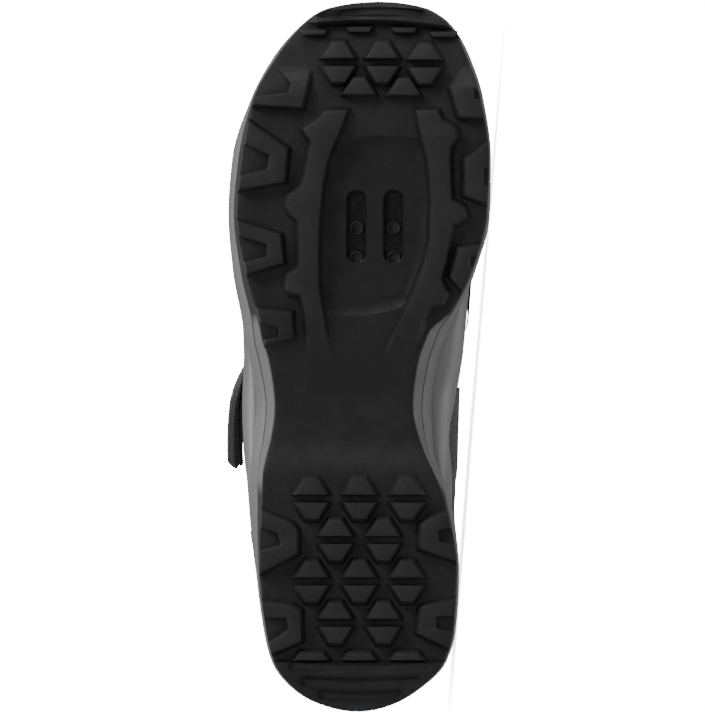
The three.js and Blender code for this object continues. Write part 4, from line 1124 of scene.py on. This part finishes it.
# Upper
def section(t, side, grow):
    """Feather, bulge, low, mid, top and power of the last's half section, moved outwards by grow."""
    ridge = last["ridge"](t) * BALL_WIDTH
    feather = side * (outline["feather" + SIDE[side]](t) * BALL_WIDTH - ridge) - FEATHER_INSET + grow
    bulge = side * (last["out" if side < 0 else "in"](t) * BALL_WIDTH - ridge) + grow
    low = feather_z(t) + GAP
    mid = low + last["rise"](t) * INSTEP_HEIGHT
    top = low + last["height"](t) * INSTEP_HEIGHT + grow
    return ridge, feather, bulge, low, mid, top, 2 / last["full"](t)


LOWER_PART = 0.2


def last_point(t, side, s, grow=0.0):
    """Point on the last's skin: s runs from 0 at the feather edge over 0.2 at the bulge to 1 on the ridge."""
    t, s, grow = np.broadcast_arrays(np.asarray(t, float), np.asarray(s, float), np.asarray(grow, float))
    ridge, feather, bulge, low, mid, top, power = section(t, side, grow)
    a = np.clip(s / LOWER_PART, 0, 1) * math.pi / 2
    b = np.clip((s - LOWER_PART) / (1 - LOWER_PART), 0, 1) * math.pi / 2
    under = s < LOWER_PART
    y = np.where(under, feather + (bulge - feather) * np.sin(a), bulge * np.maximum(np.cos(b), 0) ** power)
    z = np.where(under, low + (mid - low) * (1 - np.cos(a)), mid + (top - mid) * np.sin(b) ** power)
    fade = np.clip(1 - share_of(t) / HEEL_CURVE_REACH, 0, 1) ** 2
    x = LENGTH * share_of(t) + heel_curve((z - low) / INSTEP_HEIGHT) * LENGTH * fade
    return np.stack([x, ridge + side * np.maximum(y, 0.0), z], axis=-1)


def solve(f, low, high, steps=26):
    """Where the rising function f passes zero between low and high, for whole arrays at once."""
    low, high = np.array(low, float), np.array(high, float)
    for _ in range(steps):
        mid = (low + high) / 2
        above = f(mid) > 0
        high = np.where(above, mid, high)
        low = np.where(above, low, mid)
    return (low + high) / 2


def top_line_z(x):
    return top_line(x / LENGTH) * INSTEP_HEIGHT


def throat_half(x):
    """Half the width of the throat opening: a round nose in front and straight edges behind it."""
    front, rear = THROAT_FRONT * LENGTH, THROAT_REAR * LENGTH
    nose = THROAT_FRONT_WIDTH / 2
    u = np.clip((front - x) / (front - rear), 0, 1)
    straight = nose + (THROAT_REAR_WIDTH / 2 - nose) * u
    from_front = np.clip(front - x, 0, nose)
    arc = np.sqrt(np.maximum(2 * nose * from_front - from_front ** 2, 0))
    half = np.where(front - x > nose, straight, np.minimum(straight, arc))
    return np.where(x > front, 0.0, half)


def opening_reach(t, side):
    """How far up the section the upper reaches before the collar or the throat."""
    def past(s):
        p = last_point(t, side, s)
        ridge = last["ridge"](t) * BALL_WIDTH
        over_top = p[..., 2] - top_line_z(p[..., 0])
        over_top = np.where(p[..., 0] < 0.44 * LENGTH, over_top, -1.0)
        in_throat = throat_half(p[..., 0]) - side * (p[..., 1] - ridge)
        behind_front = (p[..., 0] > THROAT_REAR * LENGTH) & (p[..., 0] < THROAT_FRONT * LENGTH)
        in_throat = np.where(behind_front, in_throat, -1.0)
        return np.maximum(over_top, in_throat)

    return solve(past, np.full(np.shape(t), LOWER_PART), np.full(np.shape(t), 1.0))


def soften(values, width):
    """Values with a Gaussian blur of the given width."""
    kernel = np.exp(-0.5 * (np.arange(-3 * width, 3 * width + 1) / width) ** 2)
    padded = np.pad(values, 3 * width, mode="edge")
    return np.convolve(padded, kernel / kernel.sum(), mode="valid")


UPPER_STATIONS = 230
UPPER_COLUMNS = 56
upper_t = np.linspace(0.006, 0.994, UPPER_STATIONS)
reach = {side: opening_reach(upper_t, side) for side in (-1, 1)}
closed_from = int(np.argmax((reach[-1] > 0.9999) & (reach[1] > 0.9999)))
for side in (-1, 1):
    eased = soften(reach[side], 2)
    fade = smooth((closed_from - 4 - np.arange(UPPER_STATIONS)) / 6)
    blended = eased * fade + reach[side] * (1 - fade)
    reach[side] = np.where(np.arange(UPPER_STATIONS) >= closed_from, 1.0, blended)


def toe_cap_line(z):
    return LENGTH * (TOE_CAP_AT + TOE_CAP_SWEEP * z / INSTEP_HEIGHT)


def counter_line(z):
    return LENGTH * (COUNTER_AT + COUNTER_SWEEP * (1 - z / (COUNTER_UP * INSTEP_HEIGHT)))


def counter_top(x):
    return INSTEP_HEIGHT * (COUNTER_UP + 0.19 * (COUNTER_AT - x / LENGTH))


def knit_low(x, side):
    """Lower edge of the knitted collar; on the inner side it dips far enough to show from below."""
    share = x / LENGTH
    line = top_line_z(x) - CUFF_DEPTH
    dip = np.exp(-((share - 0.392) / 0.078) ** 4)
    return line - (line - 33) * dip * (0.97 if side > 0 else 0.0)


def creases(p, side):
    """Soft flexing creases over the vamp and wrinkles at the ankle, in mm outwards."""
    x, y, z = p[..., 0], p[..., 1], p[..., 2]
    total = np.zeros(np.shape(x))
    for at, lean, width, deep in VAMP_CREASES:
        centre = at * LENGTH - lean * side * y - 0.12 * (z - 40)
        d = (x - centre) / width
        total += deep * (np.exp(-d * d) - 0.45 * np.exp(-((d - 1.7) ** 2)) - 0.45 * np.exp(-((d + 1.7) ** 2)))
    total *= smooth((z - 34) / 14)
    for at, up, width, deep in ANKLE_CREASES:
        d = (z - up - 0.35 * (x - at * LENGTH)) / width
        total += deep * np.exp(-d * d) * np.exp(-(((x - at * LENGTH) / 17) ** 2))
    return total


def outer_skin(t, side, s):
    """The upper's outside with its toe cap, heel counter, eyelet facing, cuff and creases."""
    p = last_point(t, side, s)
    x, z = p[..., 0], p[..., 2]
    ridge = last["ridge"](t) * BALL_WIDTH
    grow = OVERLAY * smooth((x - toe_cap_line(z)) / 1.6 + 0.5)
    counter = smooth((counter_line(z) - x) / 1.6 + 0.5) * smooth((counter_top(x) - z) / 1.6 + 0.5)
    grow = np.maximum(grow, OVERLAY * counter)
    facing = smooth((throat_half(x) + 15 - side * (p[..., 1] - ridge)) / 1.6 + 0.5)
    facing *= ((x > 0.36 * LENGTH) & (x < (THROAT_FRONT + 0.03) * LENGTH)) * smooth((z - 45) / 2)
    grow = np.maximum(grow, 0.7 * facing)
    grow = grow * smooth((knit_low(x, side) - z) / 2.0 + 0.5) + creases(p, side)
    return last_point(t, side, s, grow)


def inner_station(t):
    """The station of the inside that lies behind one of the outside."""
    first = float(station_of(WALL / LENGTH))
    return first + t * (1 - 2 * first)


def inner_skin(t, side, s):
    return last_point(inner_station(t), side, s, -WALL)


def rolled_rim(out, end, count, height):
    """Half round from the last column of an outer sheet to the points of an inner edge."""
    start = out[:, -1]
    rise = start - out[:, -3]
    rise /= np.maximum(np.linalg.norm(rise, axis=1), 1e-6)[:, None]
    thick = np.linalg.norm(start - end, axis=1)[:, None]
    columns_made = []
    for k in range(1, count + 1):
        a = math.pi * k / (count + 1)
        mix = (1 - math.cos(a)) / 2
        columns_made.append(start * (1 - mix) + end * mix + rise * math.sin(a) * thick * height)
    return np.stack(columns_made, axis=1)


def build_upper():
    points, faces, kinds = [], [], []
    rim = 5
    cols = 2 * UPPER_COLUMNS + rim
    in_rim = range(UPPER_COLUMNS - 1, UPPER_COLUMNS + rim)
    first_lining = UPPER_COLUMNS + rim - 1

    def index(block, i, k):
        return (block * UPPER_STATIONS + i) * cols + k

    for block, side in enumerate((-1, 1)):
        t = upper_t[:, None]
        s = reach[side][:, None] * np.linspace(0, 1, UPPER_COLUMNS)[None, :]
        out = outer_skin(t, side, s)
        inner = inner_skin(t, side, s)
        rows = np.concatenate([out, rolled_rim(out, inner[:, -1], rim, 0.42), inner[:, ::-1]], axis=1)
        points.append(rows.reshape(-1, 3))
        for i in range(UPPER_STATIONS - 1):
            for k in range(cols):
                if i >= closed_from - 1 and k in in_rim:
                    continue
                n = (k + 1) % cols
                face = tuple(index(block, *at) for at in ((i, k), (i, n), (i + 1, n), (i + 1, k)))
                faces.append(face if side < 0 else face[::-1])
                kinds.append(int(first_lining <= k < cols - 1))
    for i in (0, UPPER_STATIONS - 1):
        for k in range(cols - 1):
            if i and k in in_rim:
                continue
            faces.append((index(0, i, k), index(1, i, k), index(1, i, k + 1), index(0, i, k + 1)))
            kinds.append(int(k >= first_lining))
    piece = add_object("upper_shell", np.concatenate(points), faces, [synthetic, lining],
                       node="upper", slot="synthetic", smooth_angle=50)
    piece.data.polygons.foreach_set("material_index", kinds)
    fix_normals(piece.data, weld=2e-5)
    piece.data.shade_smooth()


def travel(points):
    """Distance walked along a line of points up to each of them."""
    return np.concatenate([[0], np.cumsum(np.linalg.norm(np.diff(points, axis=0), axis=1))])


def spread_uv(across, along, sheet):
    """Weave map in metres for every point of a sheet, from its distances across and along in millimetres."""
    shape = sheet.shape[:2]
    return np.stack([np.broadcast_to(part, shape) for part in (across, along)], axis=-1).reshape(-1, 2) / 1000


def build_collar():
    """Padded knitted collar over the top line, from one edge of the throat round the heel to the other."""
    last_station = int(np.argmin(np.abs(upper_t - float(station_of(0.455)))))
    rows = []
    outer_count, rim, inner_count = 22, 9, 16
    for side in (-1, 1):
        t = upper_t[:last_station + 1]
        top = np.minimum(reach[side][:last_station + 1] + 0.004, 1.0)

        def reaching(edge_at):
            def above(s):
                p = last_point(t, side, s)
                return p[..., 2] - edge_at(p[..., 0])

            return solve(above, np.full(len(t), 0.02), np.full(len(t), 1.0))

        low = soften(np.minimum(reaching(lambda x: knit_low(x, side)), top - 0.02), 3)
        inside = np.minimum(reaching(lambda x: top_line_z(x) - COLLAR_DEPTH), top - 0.03)
        u = np.linspace(0, 1, outer_count)[None, :]
        s = low[:, None] + (top - low)[:, None] * u
        edge = np.sqrt(np.clip(u / 0.06, 0, 1))
        p = last_point(t[:, None], side, s)
        upward = smooth((p[..., 2] - top_line_z(p[..., 0]) + CUFF_DEPTH) / 9)
        grow = (0.1 + edge * (1.9 + (CUFF_STEP - 1.9) * upward)) + 0.5 * creases(p, side) * edge
        out = last_point(t[:, None], side, s, grow)
        v = np.linspace(1, 0, inner_count)[None, :]
        s_in = inside[:, None] + (top - inside)[:, None] * v
        pad = 3.4 * np.exp(-(((v - 0.55) / 0.3) ** 2)) * np.clip(v / 0.08, 0, 1)
        inner = last_point(inner_station(t[:, None]), side, s_in, -WALL - 0.25 - pad)
        rows.append(np.concatenate([out, rolled_rim(out, inner[:, 0], rim, 0.46), inner], axis=1))
    whole = np.concatenate([rows[0][::-1], rows[1]], axis=0)
    count, cols = whole.shape[:2]
    uv = spread_uv(travel(whole[:, outer_count])[:, None], travel(whole[count // 4])[None, :], whole)
    faces = grid_faces(count, cols)
    faces += [tuple(range(cols)), tuple(range(count * cols - 1, (count - 1) * cols - 1, -1))]
    piece = add_object("collar_pad", whole.reshape(-1, 3), faces, [knit_fabric], node="upper", slot="lining",
                       smooth_angle=60, uv=uv)


def at_height(foot, slope, side, u_offset, s, grow):
    """Station where the leaning line over a foot point crosses the section place s."""
    def ahead(t):
        p = last_point(t, side, s, grow)
        return p[..., 0] - p[..., 2] * slope - foot - u_offset

    shape = np.broadcast(np.asarray(s), np.asarray(u_offset)).shape
    return solve(ahead, np.full(shape, 0.02), np.full(shape, 0.98))


def spread(count):
    """Places from -1 to 1 that crowd towards both ends."""
    even = np.linspace(-1, 1, count)
    return np.sign(even) * (1 - (1 - np.abs(even)) ** 2)


def strap_line(foot_share, side, offsets, end_z, top_z, rows):
    """Grid of points on one half of a strap, from its end up to a height, or to the ridge if that is None."""
    slope = math.tan(math.radians(STRAP_LEAN))
    foot = foot_share * LENGTH
    count = len(offsets)

    def reaching(level):
        def above(s):
            t = at_height(foot, slope, side, offsets, s, GAP)
            return last_point(t, side, s, GAP)[..., 2] - level

        return solve(above, np.full(count, 0.0), np.full(count, 1.0), steps=18)

    start = reaching(end_z)
    stop = 1.0 if top_z is None else reaching(top_z)
    s = start + (stop - start) * np.linspace(0, 1, rows)[:, None]
    t = at_height(foot, slope, side, np.broadcast_to(offsets, s.shape), s, GAP)
    return t, s


def half_width(width):
    """Half the width of a strap, measured along the shoe across its lean."""
    return width / 2 / math.cos(math.radians(STRAP_LEAN))


def strap_solid(foot_share, width, ends, thin, taper=0.0, rows=60, across=15):
    """Closed band round the last with rounded long edges; it thins to its inner end and outer front edge."""
    sheets = []
    places = spread(across)
    edge = 1 - np.abs(places) ** 30
    low_grow, high_grow = GAP, GAP + STRAP_THICKNESS
    middle = (low_grow + high_grow) / 2
    down = np.linspace(0, 1, rows)[:, None]
    for grow_at in (low_grow, high_grow):
        parts = []
        for side in (-1, 1):
            t, s = strap_line(foot_share, side, half_width(width) * places, ends[side], None, rows)
            grow = middle + (grow_at - middle) * edge[None, :] ** 0.5
            if side < 0:
                front = 1 - smooth((0.4 - places[None, :]) / 0.7)
                grow = low_grow + (grow - low_grow) * (1 - taper * front * (1 - smooth((down - 0.3) / 0.3)))
            else:
                grow = low_grow + (grow - low_grow) * (1 - thin * (1 - smooth(down * 2.5)))
            parts.append(last_point(t, side, s, grow))
        sheets.append(np.concatenate([parts[0], parts[1][::-1][1:]], axis=0))
    ring = np.concatenate([sheets[1], sheets[0][:, ::-1]], axis=1)
    points, faces = closed_loft(ring)
    wide = width / 2 * (1 + places)
    wide = np.concatenate([wide, wide[::-1] + 0.7])
    return points, faces, 0.0, spread_uv(wide[None, :], travel(sheets[1][:, across // 2])[:, None], ring)


def free_end(low_end, top_z, rows=30):
    """Layered end of the instep strap: thick to the rear, where its outer layer reaches a little further."""
    share = np.array(FREE_END_COLUMNS)
    thick = np.interp(share, FREE_END_SHARES, FREE_END_THICK)
    base = GAP + (STRAP_THICKNESS + 0.02) * (1 - 0.9 * smooth((share - 0.55) / 0.45))
    down = np.linspace(0, 1, rows)[:, None]
    round_end = np.sqrt(np.clip(down / 0.05, 0.3, 1))
    sheets = []
    for grow, rear in ((base, 1.9), (base + thick, -0.4)):
        offsets = half_width(INSTEP_STRAP_WIDTH) * (2 * share - 1) + rear * np.clip(1 - share / 0.12, 0, 1)
        t, s = strap_line(FREE_END_AT, -1, offsets, low_end, top_z, rows)
        sheets.append(last_point(t, -1, s, GAP + (grow - GAP) * round_end))
    ring = np.concatenate([sheets[1], sheets[0][:, ::-1]], axis=1)
    points, faces = closed_loft(ring)
    wide = np.concatenate([share, share[::-1]])[None, :] * INSTEP_STRAP_WIDTH
    return points, faces, 0.0, spread_uv(wide, down * FREE_END_LENGTH, ring)


def build_straps():
    for name, node, band in (
        ("instep_strap", "strap_instep",
         strap_solid(INSTEP_STRAP_AT, INSTEP_STRAP_WIDTH, INSTEP_ENDS, thin=0.9, taper=0.9)),
        ("strap_free_end", "strap_instep", free_end(INSTEP_ENDS[-1] - 0.5, FREE_END_TOP)),
        ("forefoot_strap", "strap_forefoot",
         strap_solid(FOREFOOT_STRAP_AT, FOREFOOT_STRAP_WIDTH, FOREFOOT_ENDS, thin=0.8)),
    ):
        gather = Gather()
        gather.add(*band)
        gather.piece(name, webbing, node=node, slot="webbing")


def skin_at(x, offset, side, grow):
    """Point on the last at a place along and a distance from the ridge."""
    t = station_of(x / LENGTH)
    ridge, feather, bulge, low, mid, top, power = section(t, side, grow)
    c = np.clip(np.abs(offset) / bulge, 0, 1) ** (1 / power)
    z = mid + (top - mid) * np.sqrt(np.maximum(1 - c * c, 0)) ** power
    return np.stack([x, ridge + offset, z], axis=-1)


def build_tongue():
    rows, across = 90, 41
    x = np.linspace(TONGUE_FRONT, TONGUE_REAR, rows)[:, None] * LENGTH
    along = np.linspace(0, 1, rows)[:, None]
    half = TONGUE_FRONT_WIDTH / 2 + (TONGUE_REAR_WIDTH - TONGUE_FRONT_WIDTH) / 2 * along
    half = half * np.sqrt(np.clip((1 - along) / 0.06, 0.12, 1)) * np.sqrt(np.clip(along / 0.03, 0.3, 1))
    u = np.linspace(-1, 1, across)[None, :]
    offset = half * u
    side_edge = np.sqrt(np.clip((1 - np.abs(u)) / 0.16, 0.06, 1))
    side_edge = side_edge * np.sqrt(np.clip((1 - along) / 0.05, 0.15, 1))
    quilt = 0.7 * np.abs(np.sin(along * math.pi * 9)) ** 0.5 * np.clip((0.78 - np.abs(u)) / 0.1, 0, 1)
    base = -WALL - FIT
    layers = []
    half_thick = TONGUE_THICKNESS / 2
    for grow in (base - 0.7 + quilt - half_thick * (1 - side_edge), base - half_thick * (1 + side_edge)):
        grow = np.broadcast_to(grow, offset.shape)
        xs = np.broadcast_to(x, offset.shape)
        out = skin_at(xs, offset, -1, grow)
        inner = skin_at(xs, offset, 1, grow)
        layers.append(np.where((u < 0)[..., None], out, inner))
    ring = np.concatenate([layers[0], layers[1][:, ::-1]], axis=1)
    points, faces = closed_loft(ring)
    uv = spread_uv(np.concatenate([offset, offset[:, ::-1]], axis=1), x, ring)
    piece = add_object("tongue_pad", points, faces, [knit_fabric], node="tongue", slot="lining",
                       smooth_angle=60, uv=uv)


def build_insole():
    first = float(station_of((WALL + 2 * FIT) / LENGTH))
    rings = []
    for t in np.linspace(first, 1 - first, 120):
        halves = []
        for side in (-1, 1):
            ridge, feather, _, low, *_ = (float(value) for value in section(t, side, -WALL - 2 * FIT))
            x = LENGTH * float(share_of(t))
            fade = max(0.0, 1 - x / LENGTH / HEEL_CURVE_REACH)
            x += 0.012 * LENGTH * fade * fade
            reach_y = max(feather, 0.4)
            half = []
            for k in range(13):
                u = k / 12
                lift = 1.2 * float(smooth((u - 0.8) / 0.2))
                half.append((x, ridge + side * max(reach_y * u, 0.1), low + INSOLE_THICKNESS - 1.3 + lift))
            half += [(x, ridge + side * y, low + 0.05) for y in (reach_y, 0.1)]
            halves.append(half)
        rings.append(halves[0] + halves[1][::-1])
    points, faces = closed_loft(np.array(rings))
    add_object("insole_bed", points, faces, [lining], node="insole", slot="lining")


def stitch_row(gather, points, normals, length=2.0, pitch=3.1, radius=0.32):
    """Thread stitches along a line of points on a surface."""
    points, normals = np.asarray(points), np.asarray(normals)
    walked = travel(points)

    def at(distance, values):
        return np.array([np.interp(distance, walked, values[:, k]) for k in range(3)])

    for start in np.arange(pitch / 2, walked[-1] - length, pitch):
        ends = [at(start, points), at(start + length, points)]
        normal = at(start, normals)
        normal /= max(np.linalg.norm(normal), 1e-6)
        along = ends[1] - ends[0]
        along /= max(np.linalg.norm(along), 1e-6)
        across = np.cross(along, normal)
        rings = []
        for place, size, lift in STITCH:
            centre = ends[0] + (ends[1] - ends[0]) * place + normal * lift
            rings.append([centre + radius * size * (across * math.cos(a) + normal * math.sin(a))
                          for a in np.linspace(0, 2 * math.pi, 7)[:-1]])
        faces = grid_faces(5, 6)
        faces += [(0, 1, 2, 3, 4, 5), (29, 28, 27, 26, 25, 24)]
        gather.add(np.array(rings).reshape(-1, 3), faces)


def skin_normals(t, side, s, points):
    ahead = outer_skin(t + 0.003, side, s)
    above = outer_skin(t, side, np.minimum(s + 0.01, 1.0))
    back = outer_skin(t, side, np.maximum(s - 0.01, 0.0))
    normal = np.cross(ahead - points, above - back) * -side
    middle = np.stack([points[:, 0], np.full(len(points), 3.0), np.full(len(points), 50.0)], axis=1)
    flip = np.sign(np.sum(normal * (points - middle), axis=1))
    return normal * flip[:, None]


def build_stitches():
    gather = Gather()
    for side in (-1, 1):
        for line, count, high, found_from, found_to, set_in in (
            (toe_cap_line, 60, 1.0, 0.4, 0.99, 3.0), (counter_line, 40, 0.62, 0.1, 0.6, -3.0),
        ):
            s = np.linspace(0.06, high, count)

            def past(t):
                p = last_point(t, side, s)
                return p[..., 0] - line(p[..., 2]) - set_in

            t = solve(past, np.full(count, found_from), np.full(count, found_to))
            points = outer_skin(t, side, s)
            keep = (set_in > 0) | (points[:, 2] < counter_top(points[:, 0]) - 3)
            stitch_row(gather, points[keep], skin_normals(t, side, s, points)[keep])

        chosen = (upper_t > float(station_of(0.4))) & (upper_t < float(station_of(THROAT_FRONT - 0.012)))
        t = upper_t[chosen]
        for back in (0.035, 0.14):
            s = reach[side][chosen] - back
            points = outer_skin(t, side, s)
            stitch_row(gather, points, skin_normals(t, side, s, points))
    gather.piece("upper_stitches", thread, node="upper", slot="synthetic")


build_outsole()
build_midsole()
build_cleat_nuts()
build_upper()
build_collar()
build_straps()
build_tongue()
build_insole()
build_stitches()
plate = frame["nodes"]["cleat_plate"]
plate.data.materials.clear()
plate.data.materials.append(plate_metal)


# Floor, light and camera: metres, and millimetres for the framing
FLOOR_RADIUS = 14
DOME_RADIUS = 14.5
DISTANCE = 9.0
SENSOR = 36
FRAME_MM = 712 * 0.3768
VIEW_CENTRE = (134.2, -3.6, 0)

# Lamps: metres from the middle of the shoe towards the toe, towards the camera and to its right; size; power
LAMPS = {
    "key": (1.1, 0.85, -1.1, (0.6, 0.6), 20),
    "toe_side": (1.9, 0.45, 0, (1.2, 0.6), 12),
    "heel_side": (-1.9, 0.5, 0, (1.2, 0.6), 6),
    "front": (0, 1.8, -0.5, (1.2, 1.2), 6),
    "rear_fill": (-0.9, 1.2, 1.1, (1.2, 1.2), 4),
    "outer_side": (0, -0.3, -1.5, (1.4, 1.0), 20),
    "inner_side": (0, -0.15, 1.4, (1.4, 1.0), 8),
}


def plain_stage(piece):
    """Shown to the camera alone, so that it doesn't light the shoe."""
    piece.visible_diffuse = False
    piece.visible_glossy = False
    piece.visible_transmission = False


def make_floor():
    bpy.ops.mesh.primitive_circle_add(vertices=96, radius=FLOOR_RADIUS, fill_type="NGON")
    floor = bpy.context.object
    floor.name = "floor"
    material, tree, shader = make_material("floor_paper", (0.9, 0.9, 0.9), 0.8, 0.2)
    vector = object_coordinates(tree, 1.0)
    tree.links.new(ramp(tree, noise(tree, vector, 3, 2), [(0.3, (0.9, 0.9, 0.9)), (0.7, (0.92, 0.92, 0.92))]),
                   shader.inputs["Base Color"])
    floor.data.materials.append(material)
    floor.visible_shadow = False
    plain_stage(floor)
    return floor


def make_backdrop():
    bpy.ops.mesh.primitive_uv_sphere_add(segments=48, ring_count=24, radius=DOME_RADIUS)
    dome = bpy.context.object
    dome.name = "backdrop"
    material, tree, shader = make_material("backdrop_paper", (0.9, 0.9, 0.9), 0.9, 0.0)
    shader.inputs["Emission Color"].default_value = (1, 1, 1, 1)
    shader.inputs["Emission Strength"].default_value = 24
    dome.data.materials.append(material)
    dome.visible_shadow = False
    plain_stage(dome)


def area_light(name, place, target, size, power):
    data = bpy.data.lights.new(name, "AREA")
    data.energy = power
    data.shape = "RECTANGLE"
    data.size, data.size_y = size
    lamp = bpy.data.objects.new(name, data)
    bpy.context.scene.collection.objects.link(lamp)
    lamp.location = place
    lamp.rotation_mode = "QUATERNION"
    lamp.rotation_quaternion = (target - place).to_track_quat("-Z", "Y")


floor = make_floor()
make_backdrop()
centre = set_down @ Vector(VIEW_CENTRE)
camera_data = bpy.data.cameras.new("camera")
camera = bpy.data.objects.new("camera", camera_data)
bpy.context.scene.collection.objects.link(camera)
right, toward_toe, back = turn.col[1], turn.col[0], -turn.col[2]
camera.matrix_world = Matrix((right, toward_toe, back)).transposed().to_4x4()
camera.location = centre + back * DISTANCE
camera_data.sensor_width = SENSOR
camera_data.lens = SENSOR * DISTANCE / (FRAME_MM / 1000)
camera_data.clip_start, camera_data.clip_end = 0.05, 60
bpy.context.scene.camera = camera

for name, (ahead, near, aside, size, power) in LAMPS.items():
    area_light(name, centre + toward_toe * ahead + back * near + right * aside, centre, size, power)
lit = bpy.data.collections.new("lit_by_floor_lights")
lit.objects.link(floor)
for name, energy, shadow in (("floor_light", 14, True), ("floor_fill", 50, False)):
    sun = bpy.data.lights.new(name, "SUN")
    sun.energy = energy
    sun.angle = 2.4
    sun.use_shadow = shadow
    floor_light = bpy.data.objects.new(name, sun)
    bpy.context.scene.collection.objects.link(floor_light)
    floor_light.location = (0, 0, 3)
    floor_light.light_linking.receiver_collection = lit
world = bpy.data.worlds.new("studio")
world.use_nodes = True
sky = world.node_tree.nodes["Background"]
sky.inputs["Color"].default_value = (1, 1, 1, 1)
sky.inputs["Strength"].default_value = 0.3
bpy.context.scene.world = world
